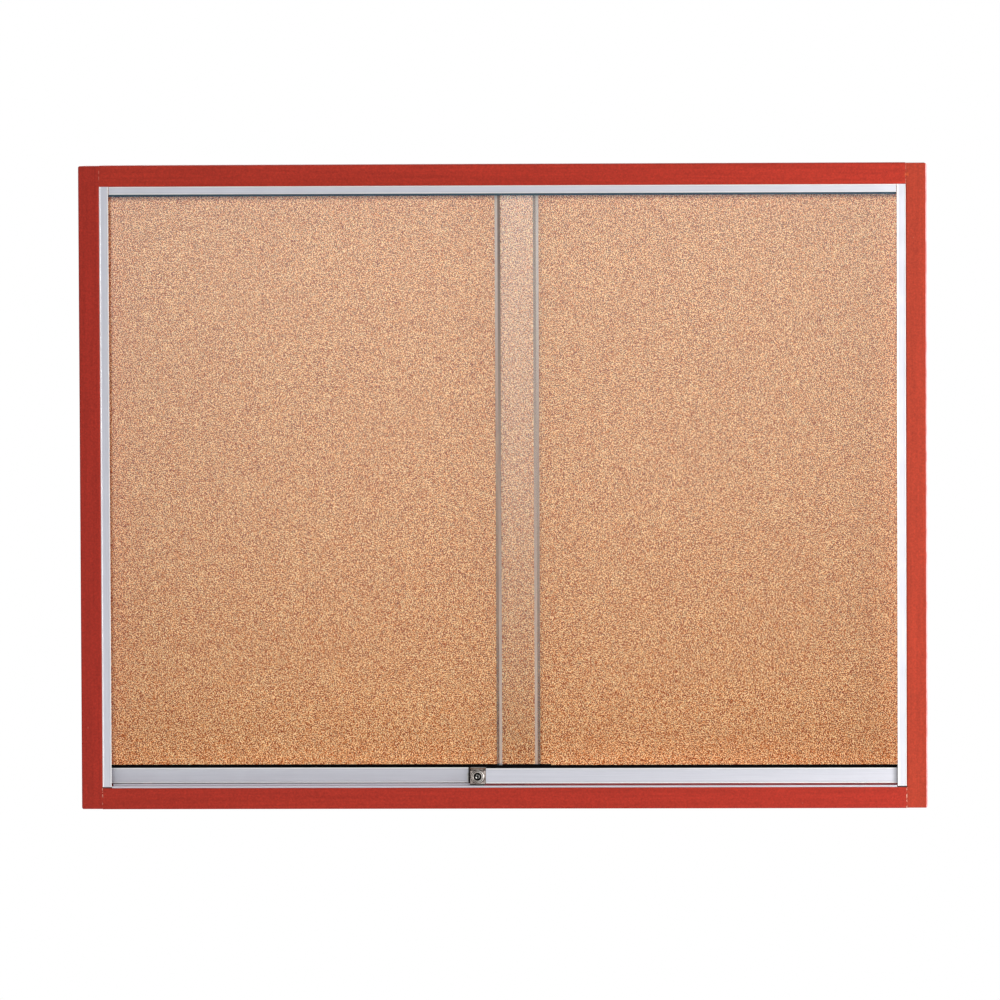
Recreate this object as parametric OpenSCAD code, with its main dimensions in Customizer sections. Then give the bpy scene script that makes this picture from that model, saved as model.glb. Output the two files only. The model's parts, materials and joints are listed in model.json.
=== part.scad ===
// Glass notice cabinet: a shallow wall case of four stained boards, with a cork panel behind two sliding
// glass doors and a ratchet lock where the doors meet.
// Sizes are millimetres. The origin is the centre of the back, +X is right, +Z is up, the doors face -Y.

/* [Case] */
// Clear width between the side boards
opening_w = 1219; // [900:1:1500]
// Clear height between the top and bottom boards
opening_h = 912; // [600:1:1200]
// Thickness of the side boards
board_t = 31.5; // [28:0.5:40]
// Thickness of the top and bottom boards
rail_t = 32; // [28:0.5:40]
// Depth of the boards from the front to the wall
case_d = 89; // [84:1:120]
// Easing of the boards' front edges
edge_r = 2; // [0.5:0.25:4]
// Rounding of the case's outer corners, seen from the front
corner_r = 3; // [1:0.5:6]
// How far the side boards' ends stop short of the top and bottom faces
stile_short = 0.6; // [0:0.1:1.5]
// Diameter of the dowels in the corner joints
dowel_d = 8; // [6:1:10]
// Length of the dowels in the corner joints
dowel_len = 44; // [30:2:50]
// Distance of the dowels from the boards' front and back
dowel_inset = 25; // [18:1:34]

/* [Back] */
// Width of the rabbet that holds the panel, cut into each board
rabbet_w = 8; // [6:0.5:11]
// Thickness of the cork sheet
cork_t = 4; // [3:0.5:8]
// Thickness of the soft board that the cork is glued to
core_t = 9; // [6:1:12]
// Thickness of the hardboard that closes the back
back_t = 3.5; // [3:0.5:6]
// Spacing of the back screws along the top and bottom boards
rail_screw_pitch = 240; // [150:10:300]
// Spacing of the back screws along the side boards
stile_screw_pitch = 300; // [150:10:350]
// Height of the hanger plates above and below the middle
hanger_z = 380; // [150:5:400]
// Radius of the round entry of a keyhole hanger
keyhole_r = 5; // [4.5:0.5:6]
// Width of the slot of a keyhole hanger
keyhole_slot_w = 5; // [4:0.5:6]

/* [Tracks and channels] */
// How far the metal sits behind the boards' front faces
track_recess = 1.5; // [0.5:0.5:5]
// Depth of the tracks from front to rear
track_d = 38; // [37:0.5:44]
// Wall of the aluminium extrusions
metal_t = 1.5; // [1.2:0.1:2]
// Height of the top track's fins
top_fin_h = 12; // [10:0.5:16]
// How far the black guides hang below the top track's fins
guide_show = 3.4; // [1:0.2:5]
// Height of the bottom track's front and rear lips
lip_h = 3; // [2.5:0.5:5]
// Height of the rib between the two lanes
rib_h = 5.3; // [4:0.1:6.5]
// Height of the rails that the wheels straddle
rail_h = 3; // [2.5:0.1:3.4]
// Width of the rails that the wheels straddle
rail_w = 1.2; // [1:0.1:1.8]
// Width of the side channels, seen from the front
channel_w = 13.7; // [10:0.1:20]
// How much narrower the side channels are at the rear
rear_flange_short = 3; // [0:0.5:6]
// Height of the side channels' lower ends above the opening's floor
channel_lift = 0.8; // [0:0.1:2]
// Thickness of the rubber bumpers in the side channels
bumper_t = 2.5; // [1.5:0.5:4]
// How far the raised beads stand out of the metal's faces
bead_out = 0.4; // [0.2:0.1:0.6]
// Width of the raised beads along the metal's edges
bead_w = 1.8; // [1:0.2:3]

/* [Doors] */
// Thickness of the glass
glass_t = 6; // [4:0.5:7]
// Sideways place of the middle of the doors' overlap
meeting_x = 21.65; // [-40:0.05:40]
// Width over which the two panes overlap
overlap_w = 66; // [50:1:90]
// Width of the bevel on the meeting edges
bevel_w = 8.5; // [4:0.5:14]
// Depth of the bevel on the meeting edges
bevel_d = 1.2; // [0.5:0.1:2]
// Width of the aluminium shoe under each pane
shoe_w = 12.7; // [12:0.1:13.5]
// Height of the shoe
shoe_h = 23.2; // [22:0.2:28]
// Height of the shoe's lower edge above the opening's floor
shoe_lift = 6; // [5.6:0.1:8]
// Wall of the shoe
shoe_wall = 1.4; // [1:0.1:1.6]
// How far the shoe runs past the glass at the meeting end
shoe_past_glass = 16.3; // [6:0.1:20]
// How far the black glazing strip shows above the shoe
vinyl_show = 4.4; // [2:0.2:6]
// How far the glass reaches up between the top guides
glass_in_guide = 8.4; // [5:0.2:10]
// Radius of the door wheels
wheel_r = 8; // [7.6:0.1:8.2]
// Depth of the groove that the wheels run on
groove_d = 1; // [0.6:0.1:1.4]
// Width of the wheels
wheel_w = 6; // [4:0.5:6.5]
// Distance of each wheel from the end of its shoe
wheel_inset = 62; // [40:1:150]
// Radius of the wheels' axles
axle_r = 1.5; // [1:0.1:2]

/* [Lock] */
// Width of the lock's body
lock_w = 24; // [23:0.5:30]
// Height of the lock's body
lock_h = 25; // [24.5:0.5:30]
// Height of the lock's lower edge above the opening's floor
lock_lift = 3.9; // [3.6:0.1:5]
// Gap between the lock and the front door's shoe
lock_gap = 0.7; // [0.5:0.1:3]
// Outer diameter of the ring round the lock's plug
ring_d = 19.8; // [17:0.2:22]
// How far the ring stands out of the lock's face
ring_out = 1; // [0.5:0.1:1.3]
// Diameter of the lock's plug
plug_d = 12; // [11:0.5:13]
// Distance of the plug's driving pin from the plug's axis, which is also the pawl's travel
pawl_travel = 1.5; // [1.2:0.1:1.6]
// Height of the ratchet bar
bar_h = 12.2; // [11:0.1:12.4]
// Thickness of the ratchet bar
bar_t = 2.2; // [1.6:0.1:2.4]
// How far the ratchet bar sticks out past the lock
bar_past_lock = 4.5; // [2:0.5:10]
// Spacing of the ratchet bar's notches
notch_pitch = 5; // [4.5:0.5:8]

/* [Hidden] */
$fn = 48;

// Extra length of a cutting shape, so that it clears the face that it cuts
cut = 1;
// Gap between a moving piece and what it passes or stops against
run_gap = 0.3;
// Radial gap of a shaft that turns in a hole
shaft_gap = 0.05;
// Gap round a screw or a dowel in its hole
screw_gap = 0.1;
// Gap between a fixed piece and the pocket that it is fitted into
fit_gap = 0.3;
// Gap between the tracks' ends and the side channels
track_end_gap = 0.8;
// Overlap that joins two shapes of one piece
weld = 0.01;

half_w = opening_w / 2;
half_h = opening_h / 2;
case_w = opening_w + 2 * board_t;
case_h = opening_h + 2 * rail_t;
panel_t = cork_t + core_t + back_t;
floor_z = -half_h;
roof_z = half_h;

// Front to rear: the track's outer faces, its two lanes and the lanes' middles
track_y0 = -case_d + track_recess;
track_y1 = track_y0 + track_d;
lane_w = (track_d - 3 * metal_t) / 2;
front_lane_y = track_y0 + metal_t + lane_w / 2;
rear_lane_y = track_y1 - metal_t - lane_w / 2;
rib_y = (track_y0 + track_y1) / 2;
track_len = opening_w - 2 * channel_w - 2 * track_end_gap;

// Outer ends of the doors, behind the side channels' faces
door_end_x = half_w - metal_t - bumper_t - run_gap;
front_glass_x0 = meeting_x - overlap_w / 2;
rear_glass_x1 = meeting_x + overlap_w / 2;
front_shoe_x0 = front_glass_x0 - shoe_past_glass;
rear_shoe_x1 = rear_glass_x1 + shoe_past_glass;
glass_side_gap = 0.8;

// The shoe, from the floor up: wheels, housing, web, glazing strip and glass
shoe_z0 = floor_z + shoe_lift;
shoe_z1 = shoe_z0 + shoe_h;
shoe_inner_w = shoe_w - 2 * shoe_wall;
axle_z = floor_z + rail_h + run_gap + wheel_r - groove_d;
housing_t = 1;
housing_len = 40;
ear_below_axle = 1;
axle_seat_gap = 0.02;
wheel_head_gap = 0.5;
wheel_chamfer = 0.4;
groove_side_gap = 0.7;
housing_z1 = axle_z + wheel_r + wheel_head_gap + housing_t;
housing_screw_x = 14;
housing_screw_len = housing_t + shoe_wall;
housing_screw_r = 1.2;
housing_head_r = 2.4;
housing_head_h = 1.2;
web_z1 = housing_z1 + shoe_wall;
strip_floor_t = 1.2;
glass_z0 = web_z1 + strip_floor_t;
strip_z1 = shoe_z1 + vinyl_show;
strip_over = 0.8;
strip_top_wall = 1;
guide_z0 = roof_z - top_fin_h - guide_show;
glass_z1 = guide_z0 + glass_in_guide;
guide_gap = 0.6;
guide_roof_t = 1;

// The lock stands in the front lane, left of the front shoe
lock_x1 = front_shoe_x0 - lock_gap;
lock_x0 = lock_x1 - lock_w;
lock_x = (lock_x0 + lock_x1) / 2;
lock_z0 = floor_z + lock_lift;
lock_z1 = lock_z0 + lock_h;
lock_z = (lock_z0 + lock_z1) / 2;
ring_y0 = track_y0 + metal_t + run_gap;
lock_y0 = ring_y0 + ring_out;
lock_plate_t = 1;
lock_plate_y1 = rear_lane_y - shoe_w / 2 - bead_out - run_gap;
lock_y1 = lock_plate_y1 - lock_plate_t;
lock_screw_r = 0.9;
lock_screw_len = 5;
lock_screw_inset = 3;
lock_screw_foot = 1.4;
lock_screw_fit = 0.05;
lock_hole_bottom = 0.2;
ring_bevel = ring_out / 2;
ring_land = 1.2;

// The ratchet bar passes through the lock's slot and behind the front shoe
slot_gap = 0.35;
slot_floor_t = 2.8;
bar_y1 = lock_y1 - slot_gap;
bar_y0 = bar_y1 - bar_t;
rib_gap = 0.6;
lock_rear_z0 = floor_z + rib_h + rib_gap;
slot_z0 = lock_rear_z0 + slot_floor_t;
bar_z0 = slot_z0 + slot_gap;
bar_z1 = bar_z0 + bar_h;
slot_z1 = bar_z1 + slot_gap;
bar_x0 = lock_x0 - bar_past_lock;
hook_t = bar_t;
hook_x0 = rear_shoe_x1 + run_gap;
hook_x1 = hook_x0 + hook_t;
hook_drop = 4;
tongue_len = 8;
spacer_len = 16;
spacer_inset = 6;
spacer_foot = 1;
notch_reach = 45;

// The pawl slides up and down behind the plug and drops into a notch of the bar
pawl_t = 2;
pawl_w = 10;
tooth_w = 2.4;
tooth_h = 4;
notch_w = tooth_w + 0.8;
notch_depth = pawl_travel;
pawl_slack = 0.4;
pawl_foot = 3;
pawl_wall = 0.6;
plug_seat = 0.2;
tooth_z0 = bar_z1 + pawl_slack;
tooth_z1 = tooth_z0 + tooth_h;
pin_r = 1.2;
pin_z = lock_z + pawl_travel;
pawl_z0 = pin_z - pin_r - pawl_slack - pawl_foot;
pawl_y1 = bar_y0 - slot_gap - pawl_wall;
pawl_y0 = pawl_y1 - pawl_t;
plug_y1 = pawl_y0 - pawl_slack;
cavity_y0 = plug_y1 - plug_seat;

// Wood screws: shank, head, tip and the cross recess in the head
small_screw_r = 1.75;
small_head_r = 3.2;
small_head_h = 1.5;
screw_tip_r = 0.3;
recess_share = 0.45;
recess_w = 0.8;
recess_d = 0.9;

// Rows of screws: the least distance to a row's end, and each kind's length and place
screw_row_end = 20;
back_screw_bite = 14;
back_screw_len = panel_t + back_screw_bite;
channel_screw_len = 20;
channel_screw_inset = 110;
track_screw_len = 20;
track_screw_pitch = 230;
bottom_screw_r = 1.2;
bottom_screw_head_r = 2;

// Keyhole hangers: a steel plate let into the back of each side board, over a pocket for a wall screw
hanger_w = 16;
hanger_h = 46;
hanger_t = 2;
hanger_screw_z = 18;
hanger_screw_len = 16;
hanger_pocket_d = 10;
hanger_pocket_gap = 1;
keyhole_rise = 12;
hanger_x = half_w + rabbet_w + (board_t - rabbet_w) / 2;

// Bumper pads in the side channels
pad_w = 10;
pad_edge = 3;

// Lays a profile drawn in depth and height along X
module along_x(x0, x1) {
    translate([x0, 0, 0])
        rotate([90, 0, 90])
            linear_extrude(x1 - x0) children();
}

// A block given by its two opposite corners
module block(a, b) {
    translate(a) cube(b - a);
}

// A rectangle in a profile, given by its two opposite corners
module patch(a, b) {
    translate(a) square(b - a);
}

// A countersunk screw that points down -Z, its head's face at the origin
module screw(length, r = small_screw_r, head_r = small_head_r) {
    tip = 2 * r;
    recess = recess_share * head_r;
    difference() {
        union() {
            translate([0, 0, -small_head_h]) cylinder(h = small_head_h, r1 = r, r2 = head_r);
            translate([0, 0, -length + tip]) cylinder(h = length - tip - small_head_h + weld, r = r);
            translate([0, 0, -length]) cylinder(h = tip, r1 = screw_tip_r, r2 = r);
        }
        for (turn = [0, 90])
            rotate([0, 0, turn])
                translate([-recess, -recess_w / 2, -recess_d]) cube([2 * recess, recess_w, recess_d + cut]);
    }
}

// The hole that such a screw sits in
module screw_hole(length, r = small_screw_r, head_r = small_head_r) {
    gap = screw_gap;
    translate([0, 0, -length - cut]) cylinder(h = length + 2 * cut, r = r + gap);
    translate([0, 0, -small_head_h]) cylinder(h = small_head_h, r1 = r + gap, r2 = head_r + gap);
    cylinder(h = cut, r = head_r + gap);
}

// The whole case's outline from the front, which rounds the boards' outer corners
module case_outline() {
    in_x = case_w / 2 - corner_r;
    in_z = case_h / 2 - stile_short - corner_r;
    rotate([90, 0, 0])
        linear_extrude(case_d) {
            square([2 * in_x, 2 * (in_z + corner_r)], center = true);
            square([2 * (in_x + corner_r), 2 * in_z], center = true);
            for (x = [-in_x, in_x], z = [-in_z, in_z])
                translate([x, z]) circle(corner_r);
        }
}

// A board's section: across its thickness and from the wall to the front, with the front edges eased
module board_section(thickness) {
    patch([0, -case_d + edge_r], [thickness, 0]);
    patch([edge_r, -case_d], [thickness - edge_r, -case_d + edge_r]);
    for (x = [edge_r, thickness - edge_r])
        translate([x, -case_d + edge_r]) circle(edge_r);
}

module rabbet_cut() {
    block([-half_w - rabbet_w, -panel_t, -half_h - rabbet_w], [half_w + rabbet_w, cut, half_h + rabbet_w]);
}

function steps_within(reach, pitch) = floor(reach / pitch);

module at_back_screws() {
    rail_n = steps_within(half_w - screw_row_end, rail_screw_pitch);
    stile_n = steps_within(half_h - screw_row_end, stile_screw_pitch);
    for (i = [-rail_n:rail_n], s = [-1, 1])
        translate([i * rail_screw_pitch, 0, s * (half_h + rabbet_w / 2)]) rotate([-90, 0, 0]) children();
    for (i = [-stile_n:stile_n], s = [-1, 1])
        translate([s * (half_w + rabbet_w / 2), 0, i * stile_screw_pitch]) rotate([-90, 0, 0]) children();
}

module at_corner_dowels() {
    for (sx = [-1, 1], sz = [-1, 1], y = [-dowel_inset, dowel_inset - case_d])
        translate([sx * half_w, y, sz * (half_h + rail_t / 2)]) rotate([0, 90, 0]) children();
}

module dowel_holes() {
    at_corner_dowels() cylinder(h = dowel_len + 2 * screw_gap, d = dowel_d + 2 * screw_gap, center = true);
}

module at_hangers() {
    for (x = [-hanger_x, hanger_x], z = [-hanger_z, hanger_z])
        translate([x, 0, z]) children();
}

module at_hanger_screws() {
    at_hangers()
        for (z = [-hanger_screw_z, hanger_screw_z])
            translate([0, 0, z]) rotate([-90, 0, 0]) children();
}

module hanger_recess() {
    block([-hanger_w / 2 - screw_gap, -hanger_t, -hanger_h / 2 - screw_gap],
          [hanger_w / 2 + screw_gap, cut, hanger_h / 2 + screw_gap]);
    pocket_r = keyhole_r + hanger_pocket_gap;
    block([-pocket_r, -hanger_t - hanger_pocket_d, -pocket_r], [pocket_r, 0, keyhole_rise + keyhole_r]);
}

module at_channel_screws(side) {
    reach = half_h - channel_screw_inset;
    for (z = [-reach, 0, reach])
        translate([side * (half_w - metal_t), rib_y, z]) rotate([0, -side * 90, 0]) children();
}

module at_track_screws() {
    n = steps_within(track_len / 2 - screw_row_end, track_screw_pitch);
    for (i = [-n:n])
        translate([i * track_screw_pitch, 0, 0]) children();
}

module at_top_track_screws() {
    at_track_screws() translate([0, front_lane_y, roof_z - metal_t]) rotate([180, 0, 0]) children();
}

module at_bottom_track_screws() {
    beside_rail = lane_w / 2 - run_gap - bottom_screw_head_r - screw_gap;
    at_track_screws()
        for (y = [front_lane_y, rear_lane_y])
            translate([0, y + beside_rail, floor_z + metal_t]) children();
}

// A side board, whose inner front edge is left square where a top or bottom board meets it
module stile(side) {
    color([0.66, 0.21, 0.17])
        difference() {
            intersection() {
                scale([side, 1, 1]) {
                    translate([half_w, 0, -case_h / 2]) linear_extrude(case_h) board_section(board_t);
                    for (z = [-case_h / 2, half_h])
                        block([half_w, -case_d, z], [half_w + edge_r, -case_d + edge_r, z + rail_t]);
                }
                case_outline();
            }
            rabbet_cut();
            dowel_holes();
            at_hangers() hanger_recess();
            at_hanger_screws() screw_hole(hanger_screw_len);
            at_back_screws() screw_hole(back_screw_len);
            at_channel_screws(side) screw_hole(channel_screw_len);
        }
}

// A top or bottom board, with side 1 for the top
module rail(side) {
    color([0.7, 0.23, 0.18])
        difference() {
            along_x(-half_w, half_w)
                translate([0, side * (half_h + rail_t / 2)])
                    rotate(90) translate([-rail_t / 2, 0]) mirror([0, 1]) board_section(rail_t);
            rabbet_cut();
            dowel_holes();
            at_back_screws() screw_hole(back_screw_len);
            if (side > 0) at_top_track_screws() screw_hole(track_screw_len);
            if (side < 0)
                at_bottom_track_screws() screw_hole(track_screw_len, bottom_screw_r, bottom_screw_head_r);
        }
}

module left_stile() { stile(-1); }
module right_stile() { stile(1); }
module top_rail() { rail(1); }
module bottom_rail() { rail(-1); }

module corner_dowels() {
    color([0.8, 0.65, 0.45])
        at_corner_dowels() cylinder(h = dowel_len, d = dowel_d, center = true);
}

// A sheet of the panel in the rabbet, between two depths measured from the back
module panel_sheet(depth0, depth1) {
    x = half_w + rabbet_w - fit_gap;
    z = half_h + rabbet_w - fit_gap;
    difference() {
        block([-x, -depth1, -z], [x, -depth0, z]);
        at_back_screws() screw_hole(back_screw_len);
    }
}

module cork_sheet() { color([0.8, 0.6, 0.44]) panel_sheet(back_t + core_t, panel_t); }
module board_core() { color([0.6, 0.5, 0.38]) panel_sheet(back_t, back_t + core_t); }
module back_panel() { color([0.42, 0.29, 0.19]) panel_sheet(0, back_t); }

module back_screws() { color([0.75, 0.72, 0.6]) at_back_screws() screw(back_screw_len); }

module hanger_plates() {
    color([0.7, 0.71, 0.73])
        difference() {
            at_hangers()
                block([-hanger_w / 2, -hanger_t, -hanger_h / 2], [hanger_w / 2, 0, hanger_h / 2]);
            at_hangers() rotate([90, 0, 0]) {
                translate([0, 0, -cut]) cylinder(h = hanger_t + 2 * cut, r = keyhole_r);
                translate([0, keyhole_rise, -cut]) cylinder(h = hanger_t + 2 * cut, d = keyhole_slot_w);
                translate([-keyhole_slot_w / 2, 0, -cut])
                    cube([keyhole_slot_w, keyhole_rise, hanger_t + 2 * cut]);
            }
            at_hanger_screws() screw_hole(hanger_screw_len);
        }
}

module hanger_screws() { color([0.7, 0.71, 0.73]) at_hanger_screws() screw(hanger_screw_len); }

// Depths at which the tracks' three upright walls start
function wall_ys() = [track_y0, rib_y - metal_t / 2, track_y1 - metal_t];

module top_track() {
    color([0.78, 0.79, 0.82])
        difference() {
            along_x(-track_len / 2, track_len / 2) {
                patch([track_y0, roof_z - metal_t], [track_y1, roof_z]);
                for (y = wall_ys()) patch([y, roof_z - top_fin_h], [y + metal_t, roof_z]);
                for (z = [roof_z - bead_w, roof_z - top_fin_h])
                    patch([track_y0 - bead_out, z], [track_y0 + metal_t, z + bead_w]);
            }
            at_top_track_screws() screw_hole(track_screw_len);
        }
}

module bottom_track() {
    ys = wall_ys();
    heights = [lip_h, rib_h, lip_h];
    color([0.78, 0.79, 0.82])
        difference() {
            along_x(-track_len / 2, track_len / 2) {
                patch([track_y0, floor_z], [track_y1, floor_z + metal_t]);
                for (i = [0:2]) patch([ys[i], floor_z], [ys[i] + metal_t, floor_z + heights[i]]);
                for (y = [front_lane_y, rear_lane_y])
                    patch([y - rail_w / 2, floor_z], [y + rail_w / 2, floor_z + rail_h]);
            }
            at_bottom_track_screws() screw_hole(track_screw_len, bottom_screw_r, bottom_screw_head_r);
        }
}

// A side channel: a web on the side board and two flanges that the doors' ends run between
module channel(side) {
    color([0.82, 0.83, 0.85])
        difference() {
            translate([0, 0, floor_z + channel_lift])
                linear_extrude(opening_h - channel_lift)
                    scale([side, 1]) {
                        patch([half_w - metal_t, track_y0], [half_w, track_y1]);
                        patch([half_w - channel_w, track_y0], [half_w, track_y0 + metal_t]);
                        for (x = [half_w - channel_w, half_w - bead_w])
                            patch([x, track_y0 - bead_out], [x + bead_w, track_y0 + metal_t]);
                        patch([half_w - channel_w + rear_flange_short, track_y1 - metal_t], [half_w, track_y1]);
                    }
            at_channel_screws(side) screw_hole(channel_screw_len);
        }
}

module left_channel() { channel(-1); }
module right_channel() { channel(1); }

// Black plastic guides fill the top track's lanes and leave a slot for each pane
module top_guides() {
    slot_w = glass_t + 2 * guide_gap;
    slot_z1 = roof_z - metal_t - guide_roof_t;
    color([0.06, 0.07, 0.08])
        for (y = [front_lane_y, rear_lane_y])
            along_x(-track_len / 2, track_len / 2)
                difference() {
                    patch([y - lane_w / 2, guide_z0], [y + lane_w / 2, roof_z - metal_t]);
                    patch([y - slot_w / 2, guide_z0 - cut], [y + slot_w / 2, slot_z1]);
                }
}

module top_track_screws() { color([0.7, 0.71, 0.73]) at_top_track_screws() screw(track_screw_len); }

module bottom_track_screws() {
    color([0.7, 0.71, 0.73])
        at_bottom_track_screws() screw(track_screw_len, bottom_screw_r, bottom_screw_head_r);
}

module channel_screws() {
    color([0.7, 0.71, 0.73])
        for (side = [-1, 1]) at_channel_screws(side) screw(channel_screw_len);
}

// A pad in each lane of each side channel, which the shoes' ends meet
module door_bumpers() {
    color([0.08, 0.08, 0.08])
        for (side = [-1, 1], y = [front_lane_y, rear_lane_y])
            scale([side, 1, 1])
                block([half_w - metal_t - bumper_t, y - pad_w / 2, shoe_z0 + pad_edge],
                      [half_w - metal_t, y + pad_w / 2, shoe_z1 - pad_edge]);
}

// A pane from its outer edge to its meeting edge, which is bevelled at the front
module pane(outer_x, meeting_edge_x, lane_y) {
    way = sign(outer_x - meeting_edge_x);
    y0 = lane_y - glass_t / 2;
    y1 = lane_y + glass_t / 2;
    color([0.75, 0.88, 0.84, 0.35])
        translate([0, 0, glass_z0])
            linear_extrude(glass_z1 - glass_z0)
                polygon([
                    [outer_x, y0],
                    [meeting_edge_x + way * bevel_w, y0],
                    [meeting_edge_x, y0 + bevel_d],
                    [meeting_edge_x, y1],
                    [outer_x, y1]
                ]);
}

module rear_glass() { pane(-door_end_x + glass_side_gap, rear_glass_x1, rear_lane_y); }
module front_glass() { pane(door_end_x - glass_side_gap, front_glass_x0, front_lane_y); }

// Where a door's two wheels are along X
function wheel_xs(x0, x1) = [x0 + wheel_inset, x1 - wheel_inset];
front_wheel_xs = wheel_xs(front_shoe_x0, door_end_x);
rear_wheel_xs = wheel_xs(-door_end_x, rear_shoe_x1);

module at_housing_screws(xs, lane_y) {
    for (x = xs, s = [-1, 1])
        translate([x + s * housing_screw_x, lane_y, housing_z1 - housing_t]) rotate([180, 0, 0]) children();
}

module housing_screw() {
    translate([0, 0, -housing_screw_len]) cylinder(h = housing_screw_len + weld, r = housing_screw_r);
    cylinder(h = housing_head_h, r = housing_head_r);
}

module housing_screw_hole() {
    translate([0, 0, -housing_screw_len - cut])
        cylinder(h = housing_screw_len + 2 * cut, r = housing_screw_r + screw_gap);
}

// The shoe: a deep groove for the glass above a web, and a hollow for the wheels below it
module shoe(x0, x1, xs, lane_y) {
    color([0.76, 0.77, 0.8])
        difference() {
            along_x(x0, x1)
                translate([lane_y, 0])
                    difference() {
                        union() {
                            patch([-shoe_w / 2, shoe_z0], [shoe_w / 2, shoe_z1]);
                            for (z = [shoe_z0, shoe_z1 - bead_w])
                                patch([-shoe_w / 2 - bead_out, z], [shoe_w / 2 + bead_out, z + bead_w]);
                        }
                        patch([-shoe_inner_w / 2, shoe_z0 - cut], [shoe_inner_w / 2, housing_z1]);
                        patch([-shoe_inner_w / 2, web_z1], [shoe_inner_w / 2, shoe_z1 + cut]);
                    }
            at_housing_screws(xs, lane_y) housing_screw_hole();
        }
}

module rear_shoe() { shoe(-door_end_x, rear_shoe_x1, rear_wheel_xs, rear_lane_y); }
module front_shoe() { shoe(front_shoe_x0, door_end_x, front_wheel_xs, front_lane_y); }

// The black strip wraps the foot of the glass and laps over the shoe's edges
module glazing_strip(x0, x1, lane_y) {
    lap_w = shoe_inner_w + 2 * strip_over;
    top_w = glass_t + 2 * strip_top_wall;
    color([0.05, 0.05, 0.06])
        along_x(x0, x1)
            translate([lane_y, 0])
                difference() {
                    union() {
                        patch([-shoe_inner_w / 2, web_z1], [shoe_inner_w / 2, shoe_z1]);
                        polygon([
                            [-lap_w / 2, shoe_z1],
                            [lap_w / 2, shoe_z1],
                            [top_w / 2, strip_z1],
                            [-top_w / 2, strip_z1]
                        ]);
                    }
                    patch([-glass_t / 2, glass_z0], [glass_t / 2, strip_z1 + cut]);
                }
}

module rear_glazing_strip() { glazing_strip(-door_end_x, rear_shoe_x1, rear_lane_y); }
module front_glazing_strip() { glazing_strip(front_shoe_x0, door_end_x, front_lane_y); }

// A bent steel housing over each wheel, with an axle through its two ears
module roller_housings(xs, lane_y) {
    half_l = housing_len / 2;
    half_t = shoe_inner_w / 2 - screw_gap;
    ear_z0 = axle_z - axle_r - ear_below_axle;
    color([0.72, 0.73, 0.75])
        for (x = xs)
            difference() {
                block([x - half_l, lane_y - half_t, ear_z0], [x + half_l, lane_y + half_t, housing_z1]);
                block([x - half_l - cut, lane_y - half_t + housing_t, ear_z0 - cut],
                      [x + half_l + cut, lane_y + half_t - housing_t, housing_z1 - housing_t]);
                translate([x, lane_y, axle_z])
                    rotate([90, 0, 0])
                        cylinder(h = 2 * (half_t + cut), r = axle_r + axle_seat_gap, center = true);
                at_housing_screws([x], lane_y) housing_screw_hole();
            }
}

module rear_roller_housings() { roller_housings(rear_wheel_xs, rear_lane_y); }
module front_roller_housings() { roller_housings(front_wheel_xs, front_lane_y); }

module axles(xs, lane_y) {
    color([0.7, 0.7, 0.72])
        for (x = xs)
            translate([x, lane_y, axle_z])
                rotate([90, 0, 0]) cylinder(h = shoe_inner_w - 2 * screw_gap, r = axle_r, center = true);
}

module rear_axles() { axles(rear_wheel_xs, rear_lane_y); }
module front_axles() { axles(front_wheel_xs, front_lane_y); }

module housing_screws(xs, lane_y) { color([0.7, 0.7, 0.72]) at_housing_screws(xs, lane_y) housing_screw(); }

module rear_housing_screws() { housing_screws(rear_wheel_xs, rear_lane_y); }
module front_housing_screws() { housing_screws(front_wheel_xs, front_lane_y); }

// A grooved wheel that straddles its rail
module wheel(x, lane_y) {
    groove_w = rail_w + 2 * groove_side_gap;
    color([0.1, 0.1, 0.11])
        translate([x, lane_y, axle_z])
            rotate([90, 0, 0])
                rotate_extrude()
                    polygon([
                        [axle_r + shaft_gap, -wheel_w / 2],
                        [wheel_r - wheel_chamfer, -wheel_w / 2],
                        [wheel_r, -wheel_w / 2 + wheel_chamfer],
                        [wheel_r, -groove_w / 2 - groove_d / 2],
                        [wheel_r - groove_d, -groove_w / 2],
                        [wheel_r - groove_d, groove_w / 2],
                        [wheel_r, groove_w / 2 + groove_d / 2],
                        [wheel_r, wheel_w / 2 - wheel_chamfer],
                        [wheel_r - wheel_chamfer, wheel_w / 2],
                        [axle_r + shaft_gap, wheel_w / 2]
                    ]);
}

module rear_wheel_left() { wheel(rear_wheel_xs[0], rear_lane_y); }
module rear_wheel_right() { wheel(rear_wheel_xs[1], rear_lane_y); }
module front_wheel_left() { wheel(front_wheel_xs[0], front_lane_y); }
module front_wheel_right() { wheel(front_wheel_xs[1], front_lane_y); }

// The bar's hook turns round the end of the rear shoe, and its tongue enters the shoe's hollow
module ratchet_bar() {
    shoe_y0 = rear_lane_y - shoe_inner_w / 2 + run_gap;
    tongue_y1 = shoe_y0 + hook_t;
    first = ceil((bar_x0 + notch_pitch / 2 - lock_x) / notch_pitch);
    last = floor(notch_reach / notch_pitch);
    color([0.72, 0.71, 0.68])
        difference() {
            union() {
                block([bar_x0, bar_y0, bar_z0], [hook_x1, bar_y1, bar_z1]);
                block([hook_x0, bar_y0, bar_z0], [hook_x1, tongue_y1, bar_z1 - hook_drop]);
                block([hook_x0 - tongue_len, shoe_y0, bar_z0], [hook_x1, tongue_y1, bar_z1 - hook_drop]);
            }
            for (i = [first:last])
                translate([lock_x + i * notch_pitch - notch_w / 2, bar_y0 - cut, bar_z1 - notch_depth])
                    cube([notch_w, bar_t + 2 * cut, notch_depth + cut]);
        }
}

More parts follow.
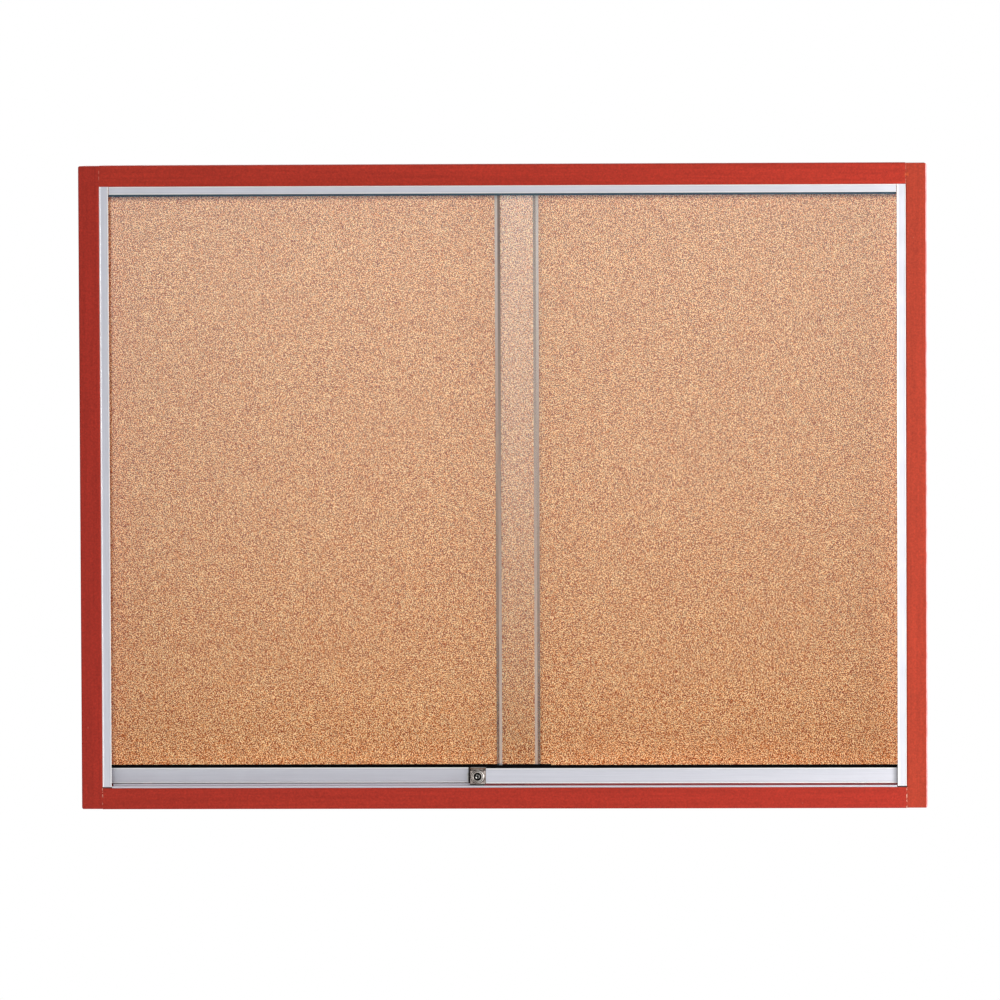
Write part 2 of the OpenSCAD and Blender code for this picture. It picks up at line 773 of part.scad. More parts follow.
// A pad that keeps the bar off the rear shoe by the thickness of the lock's back plate
module bar_spacer() {
    pad_x1 = rear_shoe_x1 - spacer_inset;
    color([0.1, 0.1, 0.11])
        block([pad_x1 - spacer_len, bar_y1, bar_z0 + spacer_foot],
              [pad_x1, rear_lane_y - shoe_w / 2, bar_z1 - notch_depth]);
}

module at_lock_screws() {
    xs = [lock_x0 + lock_screw_inset, lock_x1 - lock_screw_inset];
    zs = [lock_rear_z0 + lock_screw_foot, lock_z1 - lock_screw_inset];
    for (x = xs, z = zs)
        translate([x, lock_plate_y1, z]) rotate([-90, 0, 0]) children();
}

module lock_screw_hole() {
    translate([0, 0, -lock_screw_len - lock_hole_bottom])
        cylinder(h = lock_screw_len + lock_hole_bottom + cut, r = lock_screw_r + lock_screw_fit);
}

// The lock's cast body: a bore for the plug, a cavity for the pawl and a slot for the bar
module lock_body() {
    cavity_w = pawl_w + 2 * run_gap;
    color([0.66, 0.63, 0.58])
        difference() {
            block([lock_x0, lock_y0, lock_z0], [lock_x1, lock_y1, lock_z1]);
            block([lock_x0 - cut, rib_y - metal_t / 2 - run_gap, lock_z0 - cut],
                  [lock_x1 + cut, lock_y1 + cut, lock_rear_z0]);
            block([lock_x0 - cut, bar_y0 - slot_gap, slot_z0], [lock_x1 + cut, lock_y1 + cut, slot_z1]);
            block([lock_x - cavity_w / 2, cavity_y0, pawl_z0 - pawl_travel - pawl_slack],
                  [lock_x + cavity_w / 2, bar_y0 - slot_gap + weld, tooth_z1 + pawl_slack]);
            block([lock_x - tooth_w / 2 - pawl_slack, cavity_y0, slot_z1 - cut],
                  [lock_x + tooth_w / 2 + pawl_slack, lock_y1 + cut, tooth_z1 + pawl_slack]);
            translate([lock_x, lock_y0 - cut, lock_z])
                rotate([-90, 0, 0]) cylinder(h = cavity_y0 - lock_y0 + 2 * cut, d = plug_d + 2 * shaft_gap);
            at_lock_screws() lock_screw_hole();
        }
}

module lock_ring() {
    color([0.75, 0.73, 0.68])
        translate([lock_x, lock_y0, lock_z])
            rotate([90, 0, 0])
                rotate_extrude()
                    polygon([
                        [plug_d / 2 + shaft_gap, 0],
                        [ring_d / 2, 0],
                        [ring_d / 2, ring_out - ring_bevel],
                        [ring_d / 2 - ring_bevel, ring_out],
                        [plug_d / 2 + ring_land, ring_out],
                        [plug_d / 2 + shaft_gap, ring_out - ring_bevel]
                    ]);
}

module lock_back_plate() {
    color([0.66, 0.65, 0.62])
        difference() {
            block([lock_x0, lock_y1, lock_rear_z0], [lock_x1, lock_plate_y1, lock_z1]);
            at_lock_screws() lock_screw_hole();
        }
}

module lock_screws() {
    color([0.6, 0.6, 0.6])
        at_lock_screws() translate([0, 0, -lock_screw_len]) cylinder(h = lock_screw_len, r = lock_screw_r);
}

// The plug: a keyway in its face and a pin behind that moves the pawl
module lock_plug() {
    keyway_w = 1.6;
    keyway_h = 7;
    keyway_d = 7;
    ward_w = 2.2;
    ward_h = 1.6;
    plug_y0 = lock_y0 - ring_out + ring_bevel;
    color([0.7, 0.68, 0.64])
        difference() {
            union() {
                translate([lock_x, plug_y0, lock_z])
                    rotate([-90, 0, 0]) cylinder(h = plug_y1 - plug_y0, d = plug_d);
                translate([lock_x, plug_y1 - weld, pin_z])
                    rotate([-90, 0, 0]) cylinder(h = pawl_y1 - plug_y1 - plug_seat, r = pin_r);
            }
            block([lock_x - keyway_w / 2, plug_y0 - cut, lock_z - keyway_h / 2],
                  [lock_x + keyway_w / 2, plug_y0 + keyway_d, lock_z + keyway_h / 2]);
            block([lock_x - keyway_w / 2, plug_y0 - cut, lock_z - keyway_h / 2],
                  [lock_x + ward_w, plug_y0 + keyway_d, lock_z - keyway_h / 2 + ward_h]);
        }
}

// The pawl: a plate with a cross slot for the plug's pin and a tooth that reaches over the bar
module lock_pawl() {
    slot_half = pawl_travel + pin_r + pawl_slack;
    color([0.6, 0.6, 0.58])
        difference() {
            union() {
                block([lock_x - pawl_w / 2, pawl_y0, pawl_z0], [lock_x + pawl_w / 2, pawl_y1, tooth_z1]);
                block([lock_x - tooth_w / 2, pawl_y0, tooth_z0], [lock_x + tooth_w / 2, bar_y1, tooth_z1]);
            }
            block([lock_x - slot_half, pawl_y0 - cut, pin_z - pin_r - pawl_slack],
                  [lock_x + slot_half, pawl_y1 + weld, pin_z + pin_r + pawl_slack]);
        }
}

left_stile();
right_stile();
top_rail();
bottom_rail();
corner_dowels();
cork_sheet();
board_core();
back_panel();
back_screws();
hanger_plates();
hanger_screws();
top_track();
bottom_track();
left_channel();
right_channel();
top_guides();
top_track_screws();
bottom_track_screws();
channel_screws();
door_bumpers();
rear_glass();
rear_shoe();
rear_glazing_strip();
rear_roller_housings();
rear_axles();
rear_housing_screws();
rear_wheel_left();
rear_wheel_right();
front_glass();
front_shoe();
front_glazing_strip();
front_roller_housings();
front_axles();
front_housing_screws();
front_wheel_left();
front_wheel_right();
ratchet_bar();
bar_spacer();
lock_body();
lock_ring();
lock_back_plate();
lock_screws();
lock_plug();
lock_pawl();
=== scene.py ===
"""Glass notice cabinet: a stained case, aluminium tracks, two sliding panes and a push lock.

All lengths are in metres. The case's front faces -Y, X runs to the right and Z up.
"""

import functools
import json
import math

import bmesh
import bpy
from mathutils import Matrix, Vector

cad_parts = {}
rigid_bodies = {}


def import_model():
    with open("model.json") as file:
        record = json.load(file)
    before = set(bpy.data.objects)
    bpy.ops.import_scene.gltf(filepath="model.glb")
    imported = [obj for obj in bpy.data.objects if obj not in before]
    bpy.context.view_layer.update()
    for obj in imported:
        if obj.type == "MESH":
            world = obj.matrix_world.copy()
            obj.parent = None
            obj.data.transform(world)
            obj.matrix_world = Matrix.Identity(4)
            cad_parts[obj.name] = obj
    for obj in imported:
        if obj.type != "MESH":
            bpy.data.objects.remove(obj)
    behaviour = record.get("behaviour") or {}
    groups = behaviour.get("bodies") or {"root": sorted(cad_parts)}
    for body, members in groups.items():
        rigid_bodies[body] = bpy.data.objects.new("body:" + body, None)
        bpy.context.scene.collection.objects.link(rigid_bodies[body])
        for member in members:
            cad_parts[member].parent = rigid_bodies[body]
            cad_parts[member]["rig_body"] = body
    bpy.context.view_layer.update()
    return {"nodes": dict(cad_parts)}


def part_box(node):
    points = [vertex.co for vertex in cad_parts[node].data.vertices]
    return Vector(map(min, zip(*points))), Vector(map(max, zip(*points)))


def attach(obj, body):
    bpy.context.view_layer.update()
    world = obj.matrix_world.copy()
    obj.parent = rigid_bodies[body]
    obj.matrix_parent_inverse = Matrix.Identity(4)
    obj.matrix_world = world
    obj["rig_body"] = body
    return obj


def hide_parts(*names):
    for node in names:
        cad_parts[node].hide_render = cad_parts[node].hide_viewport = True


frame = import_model()
cad = frame["nodes"]
scene = bpy.context.scene

MM = 0.001
EVEN = (1.0, 1.0, 1.0)
ORIGIN = (0.0, 0.0, 0.0)
UP = (0.0, 0.0, 1.0)
FORWARD = (0.0, -1.0, 0.0)
UPRIGHT = (0.0, 0.0, 0.0)
ALONG_X = (math.radians(90), 0.0, math.radians(90))


# Node tree helpers

class Tree:
    """Adds nodes to a node tree. Inputs take a number, a colour or another node's output. A kind of node
    that doesn't say Node is a shader node's."""

    def __init__(self, tree):
        self.tree = tree

    def add(self, kind, inputs=None, **settings):
        node = self.tree.nodes.new(kind if "Node" in kind else "ShaderNode" + kind)
        for name, value in settings.items():
            setattr(node, name, value)
        for name, value in (inputs or {}).items():
            self.put(node.inputs[name], value)
        return node

    def first(self, *given, **settings):
        """A new node's first output."""
        return self.add(*given, **settings).outputs[0]

    def put(self, socket, value):
        if isinstance(value, bpy.types.NodeSocket):
            self.tree.links.new(value, socket)
        else:
            socket.default_value = value

    def math(self, operation, a, b=0.0, c=0.0, clamp=False):
        inputs = {0: a, 1: b, 2: c}
        return self.first("Math", inputs, operation=operation, use_clamp=clamp)

    def chain(self, operation, *parts):
        return functools.reduce(functools.partial(self.math, operation), parts)

    times = functools.partialmethod(chain, "MULTIPLY")
    plus = functools.partialmethod(chain, "ADD")
    most = functools.partialmethod(chain, "MAXIMUM")

    def minus(self, a, b):
        return self.math("SUBTRACT", a, b)

    def gap(self, a, b):
        """How far apart two values are."""
        return self.math("ABSOLUTE", self.minus(a, b))

    def vector(self, operation, inputs, output="Vector"):
        return self.add("VectorMath", inputs, operation=operation).outputs[output]

    def mix(self, share, a, b, blend="MIX"):
        """Two colours mixed. A colour is a node's output, or red, green and blue."""
        node = self.add("Mix", data_type="RGBA", blend_type=blend)
        for index, value in ((0, share), (6, a), (7, b)):
            self.put(node.inputs[index], (*value, 1.0) if isinstance(value, tuple) else value)
        return node.outputs[2]

    def noise(self, vector, scale, detail=3.0, roughness=0.5, output="Fac"):
        inputs = {"Vector": vector, "Scale": scale, "Detail": detail, "Roughness": roughness}
        return self.add("TexNoise", inputs).outputs[output]

    def cloud(self, scale, detail=3.0, roughness=0.5, output="Fac"):
        return self.noise(self.place(), scale, detail, roughness, output)

    def cells(self, vector, scale, output="Color"):
        return self.add("TexVoronoi", {"Vector": vector, "Scale": scale}).outputs[output]

    def spread(self, value, low, high, to_low=0.0, to_high=1.0):
        inputs = {0: value, 1: low, 2: high, 3: to_low, 4: to_high}
        return self.first("MapRange", inputs, interpolation_type="SMOOTHSTEP")

    def past(self, value, line, start, end, to_low=0.0, to_high=1.0):
        """A smooth rise that starts and ends so many millimetres past a line."""
        return self.spread(value, line + start * MM, line + end * MM, to_low, to_high)

    def ramp(self, share, stops):
        """A colour ramp. A stop is a place and a colour, or a place and a number for a grey."""
        node = self.add("ValToRGB", {"Fac": share})
        marks = node.color_ramp.elements
        while len(marks) < len(stops):
            marks.new(1.0)
        for mark, (place, colour) in zip(marks, stops):
            mark.position = place
            mark.color = (colour, colour, colour, 1.0) if isinstance(colour, float) else (*colour, 1.0)
        return node.outputs["Color"]

    def place(self, stretch=EVEN, shift=ORIGIN):
        here = self.add("TexCoord").outputs["Object"]
        inputs = {"Vector": here, "Scale": stretch, "Location": shift}
        return self.add("Mapping", inputs).outputs["Vector"]

    def here(self):
        return self.add("SeparateXYZ", {0: self.place()}).outputs

    def off_point(self, x, z):
        """How far the surface point is from a line along Y through x and z."""
        flat = self.vector("MULTIPLY", {0: self.place(shift=(-x, 0.0, -z)), 1: (1.0, 0.0, 1.0)})
        return self.vector("LENGTH", {0: flat}, "Value")

    def group(self, name, inputs):
        node = self.add("Group", node_tree=bpy.data.node_groups[name])
        for key, value in inputs.items():
            self.put(node.inputs[key], value)
        return node.outputs

    def grain(self, scale, stretch=EVEN):
        return self.group("fine_grain", {"Scale": scale, "Stretch": stretch})["Value"]

    def wear(self, width, patchiness):
        return self.group("edge_wear", {"Width": width * MM, "Patchiness": patchiness})

    def rub(self, colour, width, patchiness, share, rubbed):
        """The colour with its edges rubbed to another, and the eased normal."""
        wear = self.wear(width, patchiness)
        return self.mix(self.times(wear["Worn"], share), colour, rubbed), wear["Normal"]

    def paint_shade(self, colour, painted_shade):
        """The colour with painted shade laid on by a rule that gives a share and a shade colour, and that
        share.
        """
        share, shade = painted_shade(self)
        return self.mix(share, colour, shade), share

    def dust(self, amount):
        return self.group("dust", {"Amount": amount})["Mask"]


def new_group(name, kind, sockets_in, sockets_out):
    """A node group with named sockets, given as (name, kind of socket, default)."""
    tree = bpy.data.node_groups.new(name, kind)
    for label, socket_kind, default in sockets_in:
        socket = tree.interface.new_socket(label, in_out="INPUT", socket_type="NodeSocket" + socket_kind)
        if default is not None:
            socket.default_value = default
    for label, socket_kind in sockets_out:
        tree.interface.new_socket(label, in_out="OUTPUT", socket_type="NodeSocket" + socket_kind)
    made = Tree(tree)
    return made, made.add("NodeGroupInput").outputs, made.add("NodeGroupOutput").inputs


# Shared surface effects

def make_edge_wear():
    """Where an edge is rubbed bright, and a normal that rounds sharp edges a little."""
    t, given, out = new_group(
        "edge_wear", "ShaderNodeTree",
        [("Width", "Float", 0.6 * MM), ("Patchiness", "Float", 0.6)],
        [("Worn", "Float"), ("Normal", "Vector")],
    )
    rounded = t.add("Bevel", {"Radius": given["Width"]}, samples=4).outputs["Normal"]
    flat = t.add("NewGeometry").outputs["Normal"]
    edge = t.spread(t.vector("DOT_PRODUCT", {0: rounded, 1: flat}, "Value"), 0.995, 0.86)
    patches = t.spread(t.cloud(90.0, 4.0), 0.42, 0.62)
    kept = t.minus(1.0, t.times(given["Patchiness"], patches))
    t.put(out["Worn"], t.math("MULTIPLY", edge, kept, clamp=True))
    t.put(out["Normal"], rounded)


def make_fine_grain():
    """A fine grain that may be stretched, as a value round one half."""
    t, given, out = new_group(
        "fine_grain", "ShaderNodeTree",
        [("Scale", "Float", 600.0), ("Stretch", "Vector", EVEN)],
        [("Value", "Float")],
    )
    here = t.add("TexCoord").outputs["Object"]
    vector = t.vector("MULTIPLY", {0: here, 1: given["Stretch"]})
    t.put(out["Value"], t.noise(vector, given["Scale"], 4.0, 0.6))


def make_dust():
    """Thin dust that lies on what faces up and gathers in patches."""
    t, given, out = new_group(
        "dust", "ShaderNodeTree", [("Amount", "Float", 0.3)], [("Mask", "Float")],
    )
    facing = t.add("NewGeometry").outputs["Normal"]
    upward = t.spread(t.add("SeparateXYZ", {0: facing}).outputs["Z"], 0.3, 0.95)
    patches = t.spread(t.cloud(26.0, 5.0, 0.65), 0.35, 0.75)
    t.put(out["Mask"], t.math("MULTIPLY", t.times(upward, patches), given["Amount"], clamp=True))


make_edge_wear()
make_fine_grain()
make_dust()


# Finishes

class Finish(Tree):
    """A material with one Principled shader."""

    def __init__(self, name):
        self.material = bpy.data.materials.new(name)
        self.material.use_nodes = True
        self.shader = self.material.node_tree.nodes["Principled BSDF"]
        super().__init__(self.material.node_tree)

    def done(self, colour, roughness, height=None, depth=None, normal=None, **others):
        """Feeds the shader and gives the material. A pair for the roughness is spread over the height, whose
        depth is in millimetres. Others are sockets by name, with _ for a blank."""
        if isinstance(roughness, tuple):
            roughness = self.spread(height, 0.3, 0.7, *roughness)
        if height is not None:
            bump = self.add("Bump", {"Height": height, "Strength": 1.0, "Distance": depth * MM})
            if normal is not None:
                self.put(bump.inputs["Normal"], normal)
            normal = bump.outputs["Normal"]
        if normal is not None:
            others["Normal"] = normal
        for name, value in {"Base Color": colour, "Roughness": roughness, **others}.items():
            self.put(self.shader.inputs[name.replace("_", " ")], value)
        return self.material


STAIN = (0.464, 0.0325, 0.0174)


def red_stain(name, grain_along, tint=EVEN):
    """Red-brown stain under thin satin lacquer, on straight-grained board. A board's tint is painted light:
    it makes the right and top boards paler, as if more light fell on them.
    """
    t = Finish(name)
    lean = {"X": (0.035, 1.0, 1.0), "Z": (1.0, 1.0, 0.035)}[grain_along]
    bands = t.noise(t.place(lean), 30.0, 2.0)
    streaks = t.grain(320.0, lean)
    pores = t.spread(t.grain(1500.0, lean), 0.60, 0.72)
    mottle = t.cloud(420.0, 3.0, 0.7)
    blotch = t.cloud(340.0, 2.0, 0.6)
    tone = t.plus(t.times(bands, 0.22), t.times(streaks, 0.42), t.times(mottle, 0.36))
    tone = t.plus(t.times(tone, 0.60), t.times(blotch, 0.40))
    stops = [(0.34, 0.74), (0.50, 1.0), (0.66, 1.30)]
    colour = t.ramp(tone, [(place, [a * b * depth for a, b in zip(STAIN, tint)]) for place, depth in stops])
    colour = t.mix(t.times(pores, 0.25), colour, (0.17, 0.010, 0.006))
    # A few small chips where the stain has missed the wood
    chip = t.spread(t.cells(t.place(shift=(0.3, 0.1, 0.7)), 34.0, "Distance"), 0.050, 0.030)
    rare = t.spread(t.cloud(9.0, 1.0), 0.52, 0.60)
    colour = t.mix(t.times(chip, rare, 0.5), colour, (0.60, 0.16, 0.10))
    # The boards' joints, where the stain has rubbed thin in dashes, more so at the bottom
    here = t.here()
    off_joint = t.gap(t.math("ABSOLUTE", here["X"]), joint_x)
    beyond_opening = t.math("GREATER_THAN", t.math("ABSOLUTE", here["Z"]), joint_z)
    joint = t.times(t.spread(off_joint, 0.9 * MM, 0.4 * MM), beyond_opening)
    dashes = t.spread(t.cloud(210.0, 3.0, 0.6), 0.46, 0.56)
    low_down = t.spread(here["Z"], joint_z, -joint_z, 0.25, 1.0)
    colour = t.mix(t.times(joint, dashes, low_down), colour, (0.85, 0.46, 0.34))
    colour, normal = t.rub(colour, 0.8, 0.8, 0.30, (0.58, 0.09, 0.06))
    # The right board's outer front edge is painted a pale pink as a highlight, and its upper joint has an
    # orange smear
    edge = t.times(t.past(here["X"], case_corner.x, -2.2, -1.4), t.past(here["Y"], case_corner.y, 1.8, 1.0))
    patches = t.spread(t.noise(t.place((1.0, 1.0, 0.4)), 110.0, 3.0, 0.6), 0.36, 0.56, 0.55, 1.0)
    colour = t.mix(t.times(edge, patches), colour, (1.0, 0.50, 0.52))
    off_smear = t.off_point(joint_x + 1.0 * MM, joint_z + 15.0 * MM)
    smear = t.times(t.spread(off_smear, 6.0 * MM, 1.0 * MM), t.spread(blotch, 0.40, 0.60))
    colour = t.mix(t.times(smear, 0.6), colour, (0.78, 0.13, 0.03))
    dust = t.dust(0.14)
    colour = t.mix(dust, colour, (0.55, 0.50, 0.46))
    roughness = t.plus(t.times(mottle, 0.16), t.plus(0.34, t.times(dust, 0.4)))
    height = t.minus(tone, t.times(pores, 0.5))
    return t.done(colour, roughness, height, 0.08, normal, Specular_IOR_Level=0.18)


def cork():
    """Pressed cork: small wavy granules of many tones, with pale crumbs and dark bark among them."""
    t = Finish("pressed_cork")
    drift = t.vector("SUBTRACT", {0: t.cloud(230.0, 2.0, 0.5, "Color"), 1: (0.5, 0.5, 0.5)})
    drift = t.vector("SCALE", {0: drift, "Scale": 1.2 * MM})
    wavy = t.vector("ADD", {0: t.place(), 1: drift})
    granule = t.first("SeparateColor", {0: t.cells(wavy, 640.0)})
    fleck = t.add("SeparateColor", {0: t.cells(wavy, 520.0)}).outputs[2]
    coarse = t.spread(t.noise(wavy, 660.0, 0.0), 0.42, 0.58)
    fine = t.spread(t.noise(wavy, 800.0, 0.0), 0.42, 0.58)
    tone = t.plus(t.times(coarse, 0.38), t.times(fine, 0.46), t.times(granule, 0.16))
    colour = t.ramp(tone, [
        (0.26, (0.200, 0.020, 0.003)),
        (0.40, (0.470, 0.105, 0.020)),
        (0.50, (0.680, 0.210, 0.048)),
        (0.60, (0.890, 0.405, 0.140)),
        (0.74, (1.000, 0.755, 0.430)),
    ])
    bark = t.times(t.spread(fleck, 0.88, 0.95), t.spread(t.cloud(320.0), 0.42, 0.55))
    colour = t.mix(t.times(bark, 0.4), colour, (0.10, 0.026, 0.011))
    # Painted light: it is made a little paler to the right, at the top and at the foot, and much paler along
    # the frame, where the frame's shade falls
    here = t.here()
    left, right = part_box("left_channel")[1].x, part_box("right_channel")[0].x
    sill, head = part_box("rear_glazing_strip")[1].z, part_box("top_track")[0].z
    painted_light_lift = t.plus(t.past(here["X"], left, 0.0, 500.0, 0.95, 1.02),
                  t.past(here["Z"], head, -250.0, 0.0, 0.0, 0.05),
                  t.past(here["Z"], sill, 200.0, 0.0, 0.0, 0.04))
    rim_width = 45.0 * MM
    rim_stops = [(0.0, 0.26), (0.18, 0.18), (0.40, 0.10), (0.67, 0.05), (1.0, 0.0)]
    for share, a, b in ((1.0, right, here["X"]), (1.0, here["Z"], sill), (0.55, head, here["Z"]),
                        (0.25, here["X"], left)):
        rim = t.ramp(t.math("DIVIDE", t.minus(a, b), rim_width, clamp=True), rim_stops)
        painted_light_lift = t.math("MULTIPLY_ADD", rim, share, painted_light_lift)
    colour = t.mix(1.0, colour, painted_light_lift, "MULTIPLY")
    # Painted shade: its foot, below the panes, is made dark, where the track and the shoes shade it
    foot = t.past(here["Z"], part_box("bottom_track")[1].z, 4.0, 2.0)
    colour = t.mix(t.times(foot, 0.9), colour, (0.045, 0.030, 0.025))
    return t.done(colour, t.spread(tone, 0.0, 1.0, 0.80, 0.92), tone, 0.15, Specular_IOR_Level=0.15)


def hardboard():
    """Dark pressed board whose rough side shows the press's wire screen."""
    t = Finish("screen_backed_hardboard")
    here = t.here()
    turns = 2.0 * math.pi / (1.6 * MM)
    warp = t.times(t.cloud(60.0, 2.0), 3.0)
    wire_x, wire_z = (t.math("SINE", t.plus(t.times(here[axis], turns), warp)) for axis in "XZ")
    screen = t.spread(t.times(wire_x, wire_z), -1.0, 1.0)
    fibres = t.grain(260.0, (1.0, 1.0, 0.6))
    tone = t.plus(t.times(fibres, 0.75), t.times(screen, 0.25))
    colour = t.ramp(tone, [
        (0.30, (0.12, 0.062, 0.030)), (0.55, (0.20, 0.108, 0.054)), (0.75, (0.29, 0.165, 0.085)),
    ])
    colour = t.mix(t.dust(0.2), colour, (0.5, 0.46, 0.42))
    return t.done(colour, t.spread(fibres, 0.2, 0.8, 0.62, 0.8), screen, 0.12)


def satin_aluminium(where, drawn_along, node_name, painted_dimming=1.0, beaded=True, painted_shade=None):
    """Clear-anodised aluminium with the faint lines of its drawing die. Worn edges are rubbed bright, and
    beads that stand proud at the front are painted bright as a highlight. The dimming and a painted
    shade rule paint shade onto some pieces."""
    t = Finish("satin_aluminium_" + where)
    lean = {"X": (0.01, 1.0, 1.0), "Z": (1.0, 1.0, 0.01)}[drawn_along]
    bands = t.noise(t.place(lean), 120.0, 2.0)
    haze = t.cloud(40.0, 4.0, 0.6)
    wear = t.wear(0.35, 0.5)
    tone = t.plus(t.times(t.grain(1400.0, lean), 0.6), t.times(bands, 0.4))
    shades = [(0.30, (0.74, 0.75, 0.83)), (0.70, (0.86, 0.87, 0.95))]
    colour = t.ramp(tone, [(place, [part * painted_dimming for part in shade]) for place, shade in shades])
    # Painted highlight: the proud beads are coloured bright, together with the rubbed edges.
    bright = t.times(wear["Worn"], 0.6)
    if beaded:
        bright = t.most(bright, t.past(t.here()["Y"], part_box(node_name)[0].y, 0.30, 0.15))
    colour = t.mix(bright, colour, (0.99, 0.99, 1.0))
    dust = t.dust(0.25)
    colour = t.mix(dust, colour, (0.55, 0.53, 0.50))
    metal = 1.0
    if painted_shade is not None:
        colour, share = t.paint_shade(colour, painted_shade)
        metal = t.minus(1.0, share)
    roughness = t.plus(t.spread(haze, 0.3, 0.7, 0.36, 0.46), t.times(dust, 0.3))
    return t.done(colour, roughness, tone, 0.012, wear["Normal"], Metallic=metal)


def track_painted_shade(t):
    """Painted shade, tinted red as by light bounced off the stained wood, behind the track's front lip: full
    under the front door, and thinner on the floor elsewhere.
    """
    here = t.here()
    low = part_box("bottom_track")[0]
    behind = t.past(here["Y"], low.y, 1.4, 1.8)
    under_door = t.past(here["X"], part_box("lock_body")[1].x, -4.0, -2.0)
    on_floor = t.past(here["Z"], low.z, 2.4, 1.8)
    patchy = t.spread(t.cloud(40.0, 4.0, 0.6), 0.2, 0.6, 0.85, 0.97)
    reached = t.most(under_door, t.times(on_floor, 0.6))
    return t.times(behind, reached, patchy), (0.85, 0.200, 0.215)


def lock_painted_shadow(t):
    """Painted shadow: a dark line at the lock's left edge, where its shadow falls on what is behind it."""
    off_edge = t.gap(t.here()["X"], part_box("lock_body")[0].x - 0.6 * MM)
    return t.times(t.spread(off_edge, 2.3 * MM, 1.5 * MM), 0.98), (0.004, 0.003, 0.003)


def channel_foot_painted_shade(t):
    """Painted shade: the side channels' feet are made black, where the gap under them is in shade."""
    foot = t.past(t.here()["Z"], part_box("right_channel")[0].z, 1.3, 0.8, 0.0, 0.95)
    return foot, (0.012, 0.010, 0.012)


def shoe_end_painted_shade(t):
    """Painted shade on the front shoe, deepening where it runs into the right channel."""
    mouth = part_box("right_channel")[0].x
    here_x = t.here()["X"]
    line = t.past(here_x, mouth, -1.8, -1.0, 0.0, 0.30)
    return t.math("MULTIPLY_ADD", t.past(here_x, mouth, -10.0, -1.0), 0.50, line), (0.07, 0.07, 0.08)


def wheel_painted_shade(t):
    """Patchy red-brown painted shade on the wheels and the bar's spacer, like the track's under the front
    door.
    """
    return t.spread(t.cloud(300.0, 3.0, 0.6), 0.25, 0.55, 0.75, 1.0), (0.40, 0.11, 0.11)


def grained(name, scale, stretch, stops, roughness, depth, rub=None, painted_shade=None, **others):
    """A plain stuff with a fine grain. Rub is its edges' patchiness, share and colour."""
    t = Finish(name)
    grain = t.grain(scale, stretch)
    colour = t.ramp(grain, stops)
    normal = None
    if rub is not None:
        colour, normal = t.rub(colour, 0.3, *rub)
    if painted_shade is not None:
        colour, _ = t.paint_shade(colour, painted_shade)
    return t.done(colour, roughness, grain, depth, normal, **others)


def clear_glass():
    """Float glass with a faint green body and light smears. Lamps shine through it without a caustic."""
    t = Finish("clear_float_glass")
    smears = t.spread(t.noise(t.place((1.0, 1.0, 0.35)), 14.0, 5.0, 0.6), 0.55, 0.80)
    edge = t.wear(0.5, 0.2)["Worn"]
    tint = t.mix(smears, (0.986, 0.994, 0.992), (0.975, 0.985, 0.982))
    tint = t.mix(t.times(edge, 0.5), tint, (0.80, 0.93, 0.88))
    roughness = t.plus(t.times(smears, 0.02), t.times(edge, 0.12))
    material = t.done(tint, roughness, Transmission_Weight=1.0, IOR=1.5)
    lamp_ray = t.add("LightPath").outputs["Is Shadow Ray"]
    passing = t.first("BsdfTransparent", {"Color": (0.985, 0.990, 0.990, 1.0)})
    both = t.first("MixShader", {0: lamp_ray, 1: t.shader.outputs[0], 2: passing})
    t.put(material.node_tree.nodes["Material Output"].inputs["Surface"], both)
    return material


def ground_bevel():
    """The panes' ground edges: a matt outer half and a matt inner half with painted reflection: the outer
    half is dark at the bottom and pale at the top, and the inner half the other way.
    """
    t = Finish("ground_glass_edge")
    here = t.here()
    outer = t.past(t.gap(here["X"], overlap_middle), overlap_half, -4.6, -3.9)
    half_height = 0.36
    rise = t.first("MapRange", {0: here["Z"], 1: -half_height, 2: half_height})
    outer_painted_reflection = t.ramp(rise, [(0.0, 0.155), (0.5, 0.42), (1.0, 0.98)])
    inner_painted_reflection = t.ramp(rise, [(0.0, 0.95), (0.5, 0.46), (1.0, 0.24)])
    grain = t.grain(900.0, (1.0, 1.0, 0.2))
    density = t.mix(outer, t.ramp(rise, [(0.0, 0.45), (1.0, 0.69)]),
                    t.ramp(rise, [(0.0, 0.63), (0.6, 0.48), (1.0, 0.66)]))
    return t.done(t.mix(outer, inner_painted_reflection, outer_painted_reflection), t.spread(grain, 0.3, 0.7, 0.5, 0.7),
                  Specular_IOR_Level=0.1, Alpha=t.times(density, t.spread(grain, 0.3, 0.7, 0.94, 1.06)))


def zinc_steel(name="bright_zinc_steel", painted_shade=None):
    """Bright zinc plating: a cool grey with a faint straw tint in patches."""
    t = Finish(name)
    cloud = t.cloud(160.0, 5.0, 0.65)
    colour = t.ramp(cloud, [
        (0.30, (0.46, 0.45, 0.42)), (0.55, (0.60, 0.61, 0.62)), (0.75, (0.72, 0.70, 0.62)),
    ])
    colour, normal = t.rub(colour, 0.25, 0.4, 0.5, (0.85, 0.85, 0.84))
    if painted_shade is not None:
        colour, _ = t.paint_shade(colour, painted_shade)
    roughness = t.spread(cloud, 0.3, 0.7, 0.26, 0.44)
    return t.done(colour, roughness, t.grain(1600.0), 0.015, normal, Metallic=1.0)


